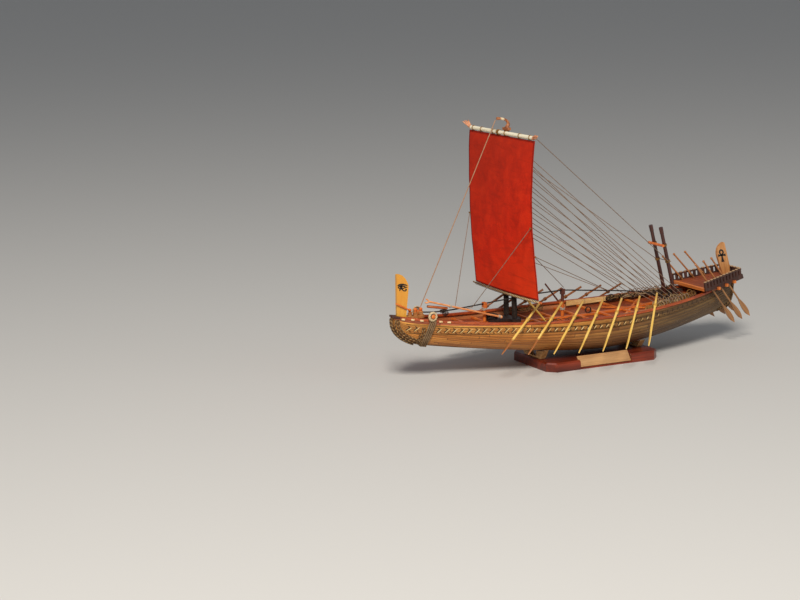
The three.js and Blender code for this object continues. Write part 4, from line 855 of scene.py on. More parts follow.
def planking_mesh(side):
    stations = [(STEM + STERN) / 2 - (STERN - STEM) / 2 * math.cos(math.pi * i / 150) for i in range(151)]
    rings = [plank_ring(x, side) for x in stations]
    count = len(rings[0])
    points = [spot[0] * MM for ring in rings for spot in ring]
    faces = []
    for i in range(len(rings) - 1):
        for j in range(count):
            a, b = i * count + j, i * count + (j + 1) % count
            faces.append((a, b, b + count, a + count) if side < 0 else (a, a + count, b + count, b))
    ends = [tuple(range(count)), tuple((len(rings) - 1) * count + j for j in range(count))]
    faces += [ends[0][::-1] if side < 0 else ends[0], ends[1] if side < 0 else ends[1][::-1]]
    mesh = new_mesh("planking", points, [], faces)
    planks_map = mesh.uv_layers.new(name="planks")
    band_map = mesh.uv_layers.new(name="band")
    for loop in mesh.loops:
        i, j = divmod(loop.vertex_index, count)
        planks_map.data[loop.index].uv = (stations[i], rings[i][j][1])
        band_map.data[loop.index].uv = (stations[i], rings[i][j][2])
    mesh.shade_smooth()
    return mesh


planks = Finish("hull_planks")
place = planks.flat_map("planks")
lane = place.out("Y")
number = lane.math("FLOOR")
shifted = place / 74.0 + planks.random(number) * 5.0
length_mark = shifted.math("FLOOR")
chance = planks.random(number * 17.3 + length_mark * 5.1)
edge = abs(lane - number - 0.5) * 2.0
seam = planks.rise(edge, 0.8, 1.0)
butt = 1 - planks.band(shifted - length_mark, 0.004, 0.996, 0.002)
height = planks.along(UP)
x = planks.along(AFT)
figure = planks.noise(planks.vector(place * 0.05, lane * 1.2 + chance * 40.0, chance * 9.0), 4, 0.6, 0.5)
pores = planks.noise(planks.vector(place * 0.35, lane * 14.0, chance * 30.0), 2)
light = figure * 0.55 + pores * 0.22 + chance * 0.23
bow = planks.ramp(light, (0.3, "#a8661f"), (0.5, "#d38c36"), (0.7, "#f0b155"))
# The quarter's colours are a shaded copy of the bow's and take over towards the stern: painted shade.
quarter_in_shade = planks.ramp(light, (0.3, "#483116"), (0.5, "#684a23"), (0.7, "#866734"))
aft = planks.rise(x, -95.0, 80.0, interpolation_type="SMOOTHSTEP")
off_band = planks.flat_map("band").out("Y")
below = planks.rise(off_band, 2.0, -4.0)
colour = planks.mix(below * 0.55, bow, planks.ramp(light, (0.3, "#935018"), (0.6, "#c4722b")))
colour = planks.mix(aft, colour, quarter_in_shade)
# Painted shade: the lower hull darkens towards the keel, most from amidships aft.
painted_shade_low = planks.rise(height, 32.0, 13.0, interpolation_type="SMOOTHSTEP")
amid = planks.rise(x, -70.0, 0.0)
colour = planks.mix(painted_shade_low * (amid * 0.45 + 0.3), colour, "#4a2a14")
ground = planks.band(off_band, -2.9, 2.9, 0.25)
colour = planks.mix(ground * 0.25, colour, "#54381d")
slope = lane - x * 0.0127 - 2.3
sheer = planks.band(slope, 12.9, 16.5, 0.04) * planks.band(lane, 12.9, 14.2, 0.04)
sheer = sheer * planks.band(x, -200.0, -95.0, 0.5)
colour = planks.mix(sheer, colour, planks.ramp(light, (0.3, "#7a331b"), (0.6, "#ab5730")))
inside = planks.band(lane, 19.5, 40.0, 0.2)
colour = planks.mix(inside, colour, planks.ramp(light, (0.3, "#8a4824"), (0.65, "#bd7440")))
grime = planks.noise(planks.vector(x * 0.05, height * 0.25, 3.0), 5, 0.6)
colour = planks.mix(planks.rise(grime, 0.52, 0.8) * 0.3, colour, "#4c3219")
colour = planks.mix((seam + butt).math("MINIMUM", 1.0) * (1 - inside) * 0.6, colour, "#3a2412")
planks.paint(
    colour, 0.5 + pores * 0.2, pores * 0.5 + figure * 0.3 - butt * 1.5, 0.12,
    Coat_Weight=0.15, Coat_Roughness=0.35,
)
for side, word in ((-1, "port"), (1, "starboard")):
    made = piece(f"strakes_{word}", planking_mesh(side), planks)
    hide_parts(f"planking_{word}")
print("strakes:", STRAKES, "a side,", len(made.data.polygons), "faces")

# %% [markdown]
# The woods of the remaining pieces differ in colour, gloss and the way the grain runs. Masts and
# posts are cut upright, beams and rails lie along the ship, and each oar is split along its own
# length, so every oar gets the direction of its loom.

# %% Woods of the hard pieces
mahogany = wood("mahogany", "#99391b", "#70260f", "#491609", coarse=2.2)
rub = mahogany.noise(mahogany.everywhere(0.08), 4)
mahogany.paint(mahogany.colour, rub * 0.3 + 0.26, mahogany.pores, 0.03, Coat_Weight=0.15, Coat_Roughness=0.2)
dress(mahogany, "base_board")
plate_tan = plain_wood("plate_tan", "#d5a873", "#bf905f", "#a07145", 0.4, 0.02, coarse=2.0, Coat_Weight=0.3)
dress(plate_tan, "nameplate")
cradle_pale = plain_wood("cradle_pale", "#d9b07a", "#bf9058", "#8f6537", 0.6, along=STARBOARD)
dress(cradle_pale, "cradle_fore", "cradle_aft")
dress(plain_wood("keel_wood", "#a9783f", "#835829", "#543517", 0.55, coarse=1.4), "keel_plate")
frame_wood = plain_wood("frame_wood", "#d8b988", "#c4a06c", "#96713f", 0.6, along=STARBOARD)
dress(frame_wood, "frame_fore", "frame_mid", "frame_aft")
rail_wood = wood("rail_mahogany", "#cc6530", "#a8491d", "#702c12", coarse=1.2)
tip = rail_wood.rise(rail_wood.along(AFT), -177.0, -179.5)
colour = rail_wood.mix(tip * 0.85, rail_wood.colour, "#2b1710")
rail_wood.paint(colour, 0.45, rail_wood.pores, 0.05, Coat_Weight=0.12)
dress(rail_wood, "gunwale_port", "gunwale_starboard")
timber_orange = plain_wood("timber_orange", "#f29340", "#dc7028", "#a34a17", 0.42, 0.06, Coat_Weight=0.2)
dress(timber_orange, "deck_timbers", "gallows_bar")
pole_wood = plain_wood("pole_wood", "#f8bd84", "#e3965a", "#b56a35", 0.42, 0.06, Coat_Weight=0.15)
dress(pole_wood, "boat_pole")
raked = (-0.25, 0, 1)
gallows_wood = plain_wood("gallows_wood", "#5e2f22", "#421f17", "#26110d", 0.4, 0.06, raked, Coat_Weight=0.3)
dress(gallows_wood, "gallows_port", "gallows_starboard")
black_wood = plain_wood("black_wood", "#3a251c", "#241611", "#120b08", 0.6, 0.1, UP)
dress(black_wood, "mast_leg_port", "mast_leg_starboard", "mast_step")
boom_wood = wood("boom_wood", "#b08f68", "#8a6c4b", "#5d452e", (0, 1, 0), 0.8)
y = boom_wood.along(STARBOARD)
bright = boom_wood.ramp(boom_wood.grain, (0.35, "#d3ad72"), (0.65, "#f3dcab"))
near = boom_wood.rise(y, 20.0, -36.0)
colour = boom_wood.mix(near, boom_wood.colour, bright)
colour = boom_wood.mix(boom_wood.band(y, -80.0, -52.5, 0.2), colour, "#d8672c")
boom_wood.paint(colour, 0.55, boom_wood.pores, 0.08)
dress(boom_wood, "boom")
print("woods:", len([m for m in bpy.data.materials if m.use_nodes]))

# %% [markdown]
# Some pieces change wood along their length. The deck is laid in narrow boards, the platform has a
# bright front beam and beam ends, the yard ends in carved hands of another wood, and the railing's
# posts show pale end grain on top. A mask made of the same formulas that placed them does that.

# %% Deck, platform, railing, yard and head
BOARD, PLATFORM_BOARD = 3.4, 3.9
PLATFORM_X, PLATFORM_Z, PLATFORM_CLIMB = 105.5, 53.3, math.tan(math.radians(8.5))


def above_platform(x, z):
    """How high a point lies above the platform, which climbs towards the stern."""
    return z - (x - PLATFORM_X) * PLATFORM_CLIMB - PLATFORM_Z


deck = wood("deck_boards", "#b8582c", "#984320", "#682a14")
y = deck.along(STARBOARD)
board = (y / BOARD).math("FLOOR")
joint = abs(y / BOARD - board - 0.5) * 2.0
seam = deck.rise(joint, 0.9, 1.0)
chance = deck.random(board * 3.7 + (deck.along(AFT) / 55.0 + deck.random(board) * 4.0).math("FLOOR"))
colour = deck.mix(chance * 0.45, deck.colour, "#6f3019")
colour = deck.mix(seam * 0.8, colour, "#2b120a")
deck.paint(colour, deck.pores * 0.2 + 0.4, deck.pores * 0.5 - seam * 1.2, 0.12, Coat_Weight=0.1)
dress(deck, "deck")

platform = wood("platform_boards", "#b5623a", "#964825", "#6b2f18", along=STARBOARD)
x, z = platform.along(AFT), platform.along(UP)
lift = above_platform(x, z)
board = (x / PLATFORM_BOARD).math("FLOOR")
seam = platform.rise(abs(x / PLATFORM_BOARD - board - 0.5) * 2.0, 0.93, 1.0)
top = platform.band(lift, -1.4, 0.4, 0.05)
front = platform.band(x, 100.0, 107.9, 0.1)
grooves = seam * top * 0.7
colour = platform.mix(platform.random(board) * 0.3, platform.colour, "#6c2c18")
colour = platform.mix(grooves, colour, "#2f130b")
bright = platform.ramp(platform.grain, (0.35, "#b3531c"), (0.65, "#ee8f45"))
colour = platform.mix((front + 1 - top).math("MINIMUM", 1.0), colour, bright)
platform.paint(colour, platform.pores * 0.2 + 0.42, platform.pores * 0.5 - seam * top, 0.1)
dress(platform, "stern_platform")

railing = wood("railing_wood", "#6b4032", "#4a2a20", "#2a1712", along=UP)
x, z = railing.along(AFT), railing.along(UP)
lift = above_platform(x, z)
knob = railing.band(lift, 6.6, 9.0, 0.06)
slat = railing.noise(railing.vector(x * 1.9, railing.along(STARBOARD) * 1.9, z * 0.12), 2)
colour = railing.mix(slat * 0.6, railing.colour, "#1f120e")
colour = railing.mix(knob * 0.85, colour, "#c9a57c")
railing.paint(colour, 0.55, slat + railing.pores * 0.4, 0.25)
dress(railing, "railing_port", "railing_starboard", "railing_aft")

spar = wood("yard_wood", "#fdf6e0", "#efe4c6", "#c7b58c", along=STARBOARD)
hand = spar.band(abs(spar.along(STARBOARD)), 50.4, 70.0, 0.3)
colour = spar.mix(hand, spar.colour, spar.ramp(spar.grain, (0.35, "#a5613a"), (0.65, "#dd9f78")))
spar.paint(colour, 0.55, spar.pores, 0.12)
dress(spar, "yard")

head = wood("head_wood", "#d99a63", "#a7623a", "#6a3520", along=UP)
spot = head.band(head.along((-1, 0, 0)), 79.5, 82.5, 0.8) * head.band(head.along(UP), 207.0, 230.0, 1.0)
dark = head.rise(head.noise(head.everywhere(0.4), 2), 0.45, 0.6)
colour = head.mix(dark * 0.5, head.colour, "#6a3a22")
head.paint(head.mix(spot, colour, "#ecd6ae"), 0.45, head.pores, 0.15)
dress(head, "mast_head")

crutch = wood("crutch_wood", "#e8893a", "#cf6a24", "#994617", along=UP)
dark = crutch.band(crutch.along(UP), 52.0, 90.0, 1.0) * crutch.band(crutch.along(AFT), -45.0, 0.0, 1.0)
crutch.paint(crutch.mix(dark, crutch.colour, "#5a2c1c"), 0.45, crutch.pores, 0.1)
dress(crutch, "crutch_fore", "crutch_mid")

# %% [markdown]
# The two end blades are thin boards, one painted ivory yellow and one left tan. Both carry a sign
# that Egyptian ships bore: an eye at the bow and a looped cross at the stern.

# %% End blades
ivory = wood("bow_ivory", "#f4c65a", "#e8b144", "#cf9330", along=(0.05, 0, 1), coarse=2.4)
foot = ivory.rise(abs(ivory.along((0.12, 0, 1)) - 55.0), 8.0, 28.0)
colour = ivory.mix(0.6 - foot * 0.6, ivory.colour, "#d9861c")
ivory.paint(colour, 0.4, ivory.pores, 0.06, Coat_Weight=0.25)
dress(ivory, "bow_post")
leaning = (-0.15, 0, 1)
stern_tan = plain_wood("stern_tan", "#d9a064", "#c2854c", "#975d30", 0.45, 0.08, leaning, 0.9, Coat_Weight=0.15)
dress(stern_tan, "stern_post")


def loom_way(node, side):
    """The direction from an oar's pivot to its blade."""
    if node.startswith("steering"):
        lean, flat = math.radians(40.8), 0.9919
        return Vector((math.sin(lean) * flat, -side * 0.1271, -math.cos(lean) * flat))
    sweep, drop = math.radians(68 - 4.4 * (int(node[-1]) - 1)), math.radians(34)
    level = math.cos(drop)
    return Vector((-math.sin(sweep) * level, side * math.cos(sweep) * level, -math.sin(drop)))


def oar_wood(palette, node, pivot, way):
    """Wood along the oar's own loom, browner on the blade, with rope at the grommet."""
    seed = float(sum(map(ord, node)) % 97)
    finish = wood("wood_" + node, *palette, along=way, coarse=0.8, seed=seed)
    out = finish.along(way) - Vector(way).dot(Vector(pivot))
    worn = finish.noise(finish.vector(out * 0.08, finish.along(STARBOARD) * 0.3, 0.0), 3)
    fore = 1.0 if node in ("oar_port_1", "oar_port_2") else 0.0
    tip = finish.rise(out, *((23.0, 26.0) if fore else (28.0, 50.0)))
    colour = finish.mix(tip * (worn * 0.6 + fore).math("MINIMUM", 1.0), finish.colour, "#a2602c")
    grip = finish.rise(out, -4.0, -9.0)
    colour = finish.mix(grip * 0.5, colour, tone("#bd7038" if palette is TAN else "#8a5a2c"))
    collar = finish.band(out, -1.2, 1.2, 0.05)
    colour = finish.mix(collar * 0.8, colour, tone("#e2b75f" if palette is YELLOW else "#8e5a30"))
    finish.paint(colour, finish.pores * 0.2 + 0.38, finish.pores, 0.06, Coat_Weight=0.2)
    dress(finish, node)


YELLOW = ("#fbdc85", "#efc25c", "#cf9c38")
BROWN_IN_SHADE = ("#b9773f", "#98582b", "#6b3a1b")
TAN = ("#bf8b58", "#a07042", "#6d4828")
oar_lines = []
for joint in frame["joints"]:
    node = joint["child"]
    if node == "ship":
        continue
    pivot = Vector(joint["pos_m"]) / MM
    side = -1 if "port" in node else 1
    way = loom_way(node, side)
    # The starboard oars lie in the ship's shade, so their browner palette and darker collars are painted shade.
    palette = TAN if node.startswith("steering") else YELLOW if side < 0 else BROWN_IN_SHADE
    oar_wood(palette, node, pivot, way)
    oar_lines.append((node, side, pivot, way))
print("oars:", len(oar_lines))

# %% [markdown]
# A lashing is a few turns of twine round a spar. Each one is a short helix about the spar's axis.
# The ship's go through the rope tree by kind, and each oar's goes on its own, since it swings too.


# %% Lashings
def helix(centre, axis, radius, turns, pitch, steps=14):
    ways = three_ways(axis)
    route = []
    for i in range(int(turns * steps) + 1):
        along = (i / steps - turns / 2) * pitch
        route.append(ring_point(centre, ways, along, math.tau * i / steps, radius))
    return route


POLE_TIP, POLE_BUTT = (-154.6, -2.3, 66), (-85, -4, 45.8)
yard_wraps = [helix((YARD_X, y, YARD_Z), STARBOARD, 1.88, 2.5, 1.1) for y in (-46, -29.5, -7, 12.5, 32, 46)]
lines("yard_lashings", yard_wraps, 0.4, thread_gold)
lines("yard_sling", [helix((YARD_X, 4.0, YARD_Z), STARBOARD, 2.0, 5, 0.75)], 0.5, thread_gold)
mast_way = mast_point(1, 100) - mast_point(1, 50)
mast_wraps = []
for side in (-1, 1):
    leg_way = Vector((mast_way.x, side * mast_way.y, mast_way.z))
    mast_wraps.append(helix(mast_point(side, 54.5), leg_way, 2.12, 33, 0.56, 10))
lines("mast_lashings", mast_wraps, 0.5, thread_dark)
white_wraps = [helix((x, 0, z), UP, 1.95, 3.5, 0.62) for x, z in ((-98.5, 53.5), (-23, 46.0))]
pole_way = (Vector(POLE_BUTT) - Vector(POLE_TIP)).normalized()
for x in (-131.9, -86.5):
    at = Vector(POLE_TIP) + pole_way * ((x - POLE_TIP[0]) / pole_way.x)
    white_wraps.append(helix(at, pole_way, 1.2, 3.5, 0.6))
lines("white_lashings", white_wraps, 0.52, thread_white)
gallows_way = Vector((gallows_x(100) - gallows_x(50), 0, 50)).normalized()
gallows_wraps = []
for side in (-1, 1):
    for z in (46.0, 78.5, 92.8):
        gallows_wraps.append(helix((gallows_x(z), side * GALLOWS_HALF, z), gallows_way, 2.0, 3.5, 0.62))
lines("gallows_lashings", gallows_wraps, 0.55, thread_gold)
for node, side, pivot, way in oar_lines:
    if node.startswith("steering"):
        turns, thick, finish = helix(pivot - way * 3.0, way, 1.12, 3.5, 0.55), 0.5, oar_brown
    else:
        # Painted shade: the starboard oars' lashings get the brown twine.
        turns, thick, finish = helix(pivot, way, 1.45, 3.0, 0.75), 0.4, oar_pale if side < 0 else oar_brown
    lines(f"lashing_{node}", [turns], thick, finish, body=node)

# %% [markdown]
# The stitches of the laced band and the beam ends at the bow repeat one small shape. A second
# Geometry Nodes tree strews them: it puts the shape on every point, turned by two directions that
# the point carries, one along the shape and one out of the surface.

# %% A tree that strews small pieces
def strew_tree():
    nodes, start = geometry_tree("strewn_pieces", Shape="Object", Finish="Material")
    shape = nodes.node("GeometryNodeObjectInfo", None, {"Object": start.out("Shape")}, "Geometry")
    vectors = {"data_type": "FLOAT_VECTOR"}
    names = ("way", "out", "size")
    carried = [nodes.node("GeometryNodeInputNamedAttribute", vectors, {"Name": name}) for name in names]
    way, out, size = carried
    first = nodes.node("FunctionNodeAlignRotationToVector", {"axis": "X"}, {"Vector": way})
    turned = {"Rotation": first, "Vector": out}
    both = nodes.node("FunctionNodeAlignRotationToVector", {"axis": "Z", "pivot_axis": "X"}, turned)
    values = {"Points": start.out("Geometry"), "Instance": shape, "Rotation": both, "Scale": size}
    placed = nodes.node("GeometryNodeInstanceOnPoints", None, values)
    return end_tree(nodes, placed, start.out("Finish"))


strewing = strew_tree()


def strew(name, spots, parts, finish, body="ship"):
    """spots are (point, way, out, size); parts is the shape, in millimetres round its own origin."""
    points = new_mesh("spots", [spot[0] * MM for spot in spots], [], [])
    for label, index in (("way", 1), ("out", 2), ("size", 3)):
        values = points.attributes.new(label, "FLOAT_VECTOR", "POINT")
        values.data.foreach_set("vector", [c for spot in spots for c in spot[index]])
    shape = add_object("shape", solid("shape", parts))
    mesh = grow(strewing, points, Shape=shape, Finish=finish.material)
    bpy.data.objects.remove(shape)
    return piece(name, mesh, finish, body)


def surface_ways(x, share, side):
    """Along the hull to the stern, up the hull to the rail, and straight out of it."""
    out = hull_out(x, share, side)
    along = hull_along(x, share, side).normalized()
    rise = out.cross(along) * (-1 if side > 0 else 1)
    return along, rise if rise.z > 0 else -rise, out


print("strewing tree:", len(strewing.nodes), "nodes")

# %% [markdown]
# The band is lacing: pale stitches that lean to the stern, each with a dark hook beside it, between
# two thin cords. Beside each stitch also lies a dark stroke of the same slant, which is painted
# shadow. It starts behind the stem, passes behind the girdle and fades towards the stern.

# %% Laced band
stitch_pale = plain_wood("stitch_pale", "#f3d9a4", "#dcb878", "#a98246", 0.7, 0.1)
stitch_dark = plain_wood("stitch_dark", "#5a4026", "#3d2917", "#23160c", 0.7, 0.1)
STITCH = [(0, 0.12), (0.08, 0.36), (0.5, 0.5), (0.92, 0.36), (1.0, 0.12)]
stroke = lathe((-0.5, 0, 0), AFT, STITCH, 6)


def band_height(x):
    """Half the band's height: it narrows behind the bow."""
    return 3.0 if x < -95 else 3.0 - 0.8 * min((x + 95) / 40, 1)


pale_spots, hook_and_shadow_spots, cord_routes = [], [], []
for side in (-1, 1):
    for i in range(49):
        x = -172.0 + 6.0 * i
        if -161.5 < x < -150.0:
            continue
        share = band_share(x)
        high = band_height(x)
        along, rise, out = surface_ways(x, share, side)
        centre = hull_point(x, share, 0, side)
        lean = (along * 0.66 + rise * 0.75).normalized()
        fade = 1 - min(max((x + 20) / 75, 0), 1)
        long = high * 1.9 * (0.6 + 0.4 * fade)
        if x < 52:
            pale_spots.append((centre + along * 0.5 + out * 0.16, lean, out, (long, 0.3 + 0.55 * fade, 0.7)))
        # Painted shadow: a dark stroke of the stitch's slant, just forward of it.
        hook_and_shadow_spots.append((centre - along * 0.75 - rise * 0.1 + out * 0.1, lean, out, (long * 0.72, 0.8, 0.5)))
        hook = (along * -0.9 + rise * 0.35).normalized()
        upper = centre - along * 0.6 + rise * high * 0.62 + out * 0.12
        hook_and_shadow_spots.append((upper, hook, out, (high * 0.75, 0.75, 0.5)))
        lower = centre + along * 1.6 - rise * high * 0.55 + out * 0.1
        hook_and_shadow_spots.append((lower, -hook, out, (high * 0.6, 0.65, 0.45)))
    for edge in (-1, 1):
        route = []
        for x in np.linspace(-174.0, 124.0, 150):
            share = band_share(x) + edge * band_height(x) / girth(x)
            route.append(on_hull(float(x), min(share, 0.995), side, 0.16))
        cord_routes.append(route)
strew("band_stitches", pale_spots, [stroke], stitch_pale)
strew("band_hooks", hook_and_shadow_spots, [stroke], stitch_dark)
lines("band_cords", cord_routes, 0.42, rope_finish("band_cord", "#8a6636", "#5b4123"), lay=4.5)
print("stitches:", len(pale_spots), "pale,", len(hook_and_shadow_spots), "dark")

# %% [markdown]
# Thick braid of a pale and a dark strand covers the stem and the forefoot: three lines on the narrow
# front and three on each side. Three more stand in front of the girdle. The stern has three lines
# on its edge and two on each side. Neighbours are laid opposite ways, which makes the braid.
# Each line keeps an even distance from the hull's profile, and then drops onto the planks.


# %% Braid on the stem and stern
def profile_route(end, inset, side, lift, points=46):
    middle, span, way, _ = ENDS[end]
    tip = middle + way * span
    profile = [Vector((tip, 0, rail_z(tip) - 2.6 - i * 0.8)) for i in range(3)]
    for i in range(points):
        x = middle + way * span * math.sin(math.pi / 2 * (1 - i / (points - 1)))
        profile.append(Vector((x, 0, keel_z(x))))
    if end != "stem":
        profile += [Vector((x, 0, keel_z(x))) for x in (141, 139, 137, 135, 133)]
    route = []
    for i, spot in enumerate(profile):
        tangent = (profile[min(i + 1, len(profile) - 1)] - profile[max(i - 1, 0)]).normalized()
        inward = Vector((-tangent.z, 0, tangent.x))
        inward = inward if inward.dot(Vector((-way, 0, 1))) > 0 else -inward
        at = spot + inward * inset
        at.z = min(at.z, rail_z(at.x) - 2.5)
        share = share_at(at.x, at.z)
        if 0.02 < share:
            route.append(on_hull(at.x, share, side, lift))
    return route


def front_route(end, y):
    """The same profile on the narrow front of the stem or the stern."""
    middle, span, way, _ = ENDS[end]
    edge = middle + way * span
    spots = [Vector((edge + way * 1.3, y, rail_z(edge) - 2.8 - i)) for i in range(3)]
    for i in range(2, 40):
        x = middle + way * span * math.sin(math.pi / 2 * (1 - i / 45))
        slope = (keel_z(x + 0.2) - keel_z(x - 0.2)) / 0.4
        spots.append(Vector((x, y, keel_z(x))) + Vector((slope, 0, -1)).normalized() * 1.25)
    return [p for i, p in enumerate(spots) if i < 3 or p.z < spots[2].z - 0.2]


first_lay, second_lay = [], []
for y in (-1.5, 0.0, 1.5):
    (second_lay if y else first_lay).extend([front_route("stem", y), front_route("stern", y)])
for side in (-1, 1):
    first_lay += [profile_route("stem", 0.9, side, 0.6), profile_route("stem", 3.9, side, 0.5, 22)]
    second_lay += [profile_route("stem", 2.4, side, 0.5, 38)]
    first_lay += [profile_route("stern", 1.2, side, 0.5, 20)]
    second_lay += [profile_route("stern", 2.7, side, 0.5, 20)]
    for lane, bunch in ((-160.9, first_lay), (-162.5, second_lay), (-164.1, first_lay)):
        shares = np.linspace(0.14, band_share(lane) + (0.07 if lane > -164 else -0.2), 14)
        bunch.append([on_hull(lane + 1.8 * s, float(s), side, 0.55) for s in shares])
lines("stem_braid_left", first_lay, 1.4, braid, lay=2.4)
lines("stem_braid_right", second_lay, 1.4, braid, lay=-2.4)
print("braid:", round(sum(map(length_of, first_lay + second_lay))), "mm")

# %% [markdown]
# The ends of the deck beams come through the bow's cap rail as pale blocks of end grain.

# %% Beam ends
square = ((-1, -1), (1, -1), (1, 1), (-1, 1))
corners = [(sx * 1.6, sy * 0.85, z) for z in (-0.6, 0.35) for sx, sy in square]
corners += [(x * 0.82, y * 0.72, 0.6) for x, y, z in corners[4:]]
block_faces = [(0, 3, 2, 1), (8, 9, 10, 11)]
block_faces += [(r + i, r + (i + 1) % 4, r + 4 + (i + 1) % 4, r + 4 + i) for r in (0, 4) for i in range(4)]
block = ([Vector(c) * MM for c in corners], block_faces)
spots = []
for side in (-1, 1):
    for x, z in ((-176.6, 53.5), (-169.1, 52.8), (-161.9, 51.7), (-147, 50.1), (-140.5, 49.3)):
        along = hull_along(x, 1, side).normalized()
        out = Vector((-along.y, along.x, 0)).normalized()
        out = out if out.y * side > 0 else -out
        spots.append((Vector((x, side * (half_breadth(x) + 0.4), z)) + out * 0.05, along, out, (0.9, 0.85, 0.8)))
end_grain = plain_wood("end_grain", "#fbe3b8", "#e9c792", "#b98d58", 0.6, 0.08, STARBOARD)
strew("beam_ends", spots, [block], end_grain)
print("beam ends:", len(spots))

# %% [markdown]
# The eye at the bow and the looped cross at the stern are old ship's signs. Each is a set of brush
# strokes, given by its middle line and its half width, laid as thin black wood on both faces of the
# blade.


# %% Signs on the end blades
def brush(points, widths, thick):
    """A flat stroke with rounded bends, as a closed strip."""
    points = [Vector((u, v)) for u, v in points]
    sides = []
    for i, p in enumerate(points):
        a, b = points[max(i - 1, 0)], points[min(i + 1, len(points) - 1)]
        tangent = (b - a).normalized()
        normal = Vector((-tangent.y, tangent.x)) * widths[i]
        sides.append((p + normal, p - normal))
    spots, faces = [], []
    for left, right in sides:
        spots += [(left.x, left.y, 0), (right.x, right.y, 0)]
        spots += [(right.x, right.y, thick), (left.x, left.y, thick)]
    for i in range(len(sides) - 1):
        a = i * 4
        faces += [(a + k, a + (k + 1) % 4, a + 4 + (k + 1) % 4, a + 4 + k) for k in range(4)]
    end = len(spots) - 4
    return spots, [*faces, (3, 2, 1, 0), (end, end + 1, end + 2, end + 3)]


def curved(points, count=14):
    """More points along the same strokes, on a smooth curve."""
    points = [Vector((u, v)) for u, v in points]
    padded = [points[0] * 2 - points[1], *points, points[-1] * 2 - points[-2]]
    route = []
    for i in range(count):
        place = i / (count - 1) * (len(points) - 1)
        k = min(int(place), len(points) - 2)
        t = place - k
        a, b, c, d = padded[k : k + 4]
        curve = 2 * b + (c - a) * t + (2 * a - 5 * b + 4 * c - d) * t**2 + (3 * b - a - 3 * c + d) * t**3
        route.append(tuple(0.5 * curve))
    return route


def sign(name, strokes, centre, right, up, face, finish, heavy=1.5):
    parts = []
    for side in (-1, 1):
        for points, wide in strokes:
            route = curved(points, 6 * len(points))
            places = np.linspace(0, len(wide) - 1, len(route))
            widths = np.interp(places, range(len(wide)), wide) * heavy
            spots, faces = brush(route, widths, 0.22)
            placed = []
            for u, v, w in spots:
                at = Vector(centre) + Vector(right) * u + Vector(up) * v
                placed.append(Vector((at.x, side * (face - 0.08 + w), at.z)) * MM)
            parts.append((placed, faces if side < 0 else [f[::-1] for f in faces]))
    return piece(name, solid(name, parts), finish)


ink = plain_wood("sign_black", "#2a201a", "#1a1310", "#0f0a08", 0.5, 0.03)
pupil = [(math.cos(a) * 0.55 - 0.9, math.sin(a) * 0.55 + 0.4) for a in np.linspace(0, math.tau * 1.05, 9)]
eye_strokes = [
    ([(-4.2, 1.5), (-2.4, 2.5), (0.2, 2.8), (2.6, 2.4), (4.5, 1.9)], (0.25, 0.42, 0.42, 0.35, 0.2)),
    (
        [(-3.9, 0.2), (-2.3, 1.2), (-0.4, 1.5), (1.6, 1.1), (3.2, 0.45), (4.6, 0.6)],
        (0.2, 0.34, 0.36, 0.34, 0.3, 0.16),
    ),
    ([(-3.9, 0.2), (-2.3, -0.55), (-0.6, -0.8), (1.2, -0.35), (2.8, 0.35)], (0.2, 0.28, 0.3, 0.28, 0.15)),
    ([(-1.9, -0.75), (-2.0, -1.8), (-2.4, -2.7)], (0.4, 0.34, 0.12)),
    (
        [(-0.5, -0.8), (0.5, -1.9), (2.0, -2.5), (3.3, -2.2), (3.7, -1.4), (3.1, -1.0), (2.6, -1.4)],
        (0.28, 0.3, 0.32, 0.3, 0.28, 0.24, 0.16),
    ),
    (pupil, (0.42, 0.42)),
]
sign("bow_eye", eye_strokes, (-175.0, 0, 78.6), (1.02, 0, -0.1), (0.03, 0, 1), 1.2, ink)
cross_strokes = [
    (
        [
            (0, 0.1), (-1.1, 1.3), (-1.55, 2.8), (-0.9, 4.1), (0, 4.5),
            (0.9, 4.1), (1.55, 2.8), (1.1, 1.3), (0, 0.1),
        ],
        (0.42, 0.42),
    ),
    ([(-3.3, 0), (-1.5, 0), (1.5, 0), (3.3, 0)], (0.78, 0.42, 0.42, 0.78)),
    ([(0, 0.3), (0, -2.6), (0, -5.7)], (0.4, 0.5, 0.9)),
]
sign("stern_cross", cross_strokes, (139.9, 0, 77.2), (1.2, 0, 0.02), (-0.24, 0, 1.05), 1.2, ink)
print("signs:", len(eye_strokes) + len(cross_strokes), "strokes a face")

# %% [markdown]
# The bow's three bitts carry turns of gold line, and a coil lies round their feet. Small dark turns
# hang on the truss rope behind them, and knots sit where the lines meet the sail's edges. A black
# coil lies before the mast, a thin line is laced round the boom, another runs from the sail to the
# after crutch, and a small coil stands upright on the deck.

# %% Turns, knots and coils
MAST_COIL_Z = 44.6
BOOM_TURNS, BOOM_STEPS = 43, 14


def racetrack(x0, x1, half, z, turns, rise):
    route = []
    for i in range(int(turns * 24) + 1):
        a = math.tau * i / 24
        end = x1 if math.cos(a) > 0 else x0
        route.append(Vector((end + math.cos(a) * half, math.sin(a) * half, z + rise * i / 24)))
    return route


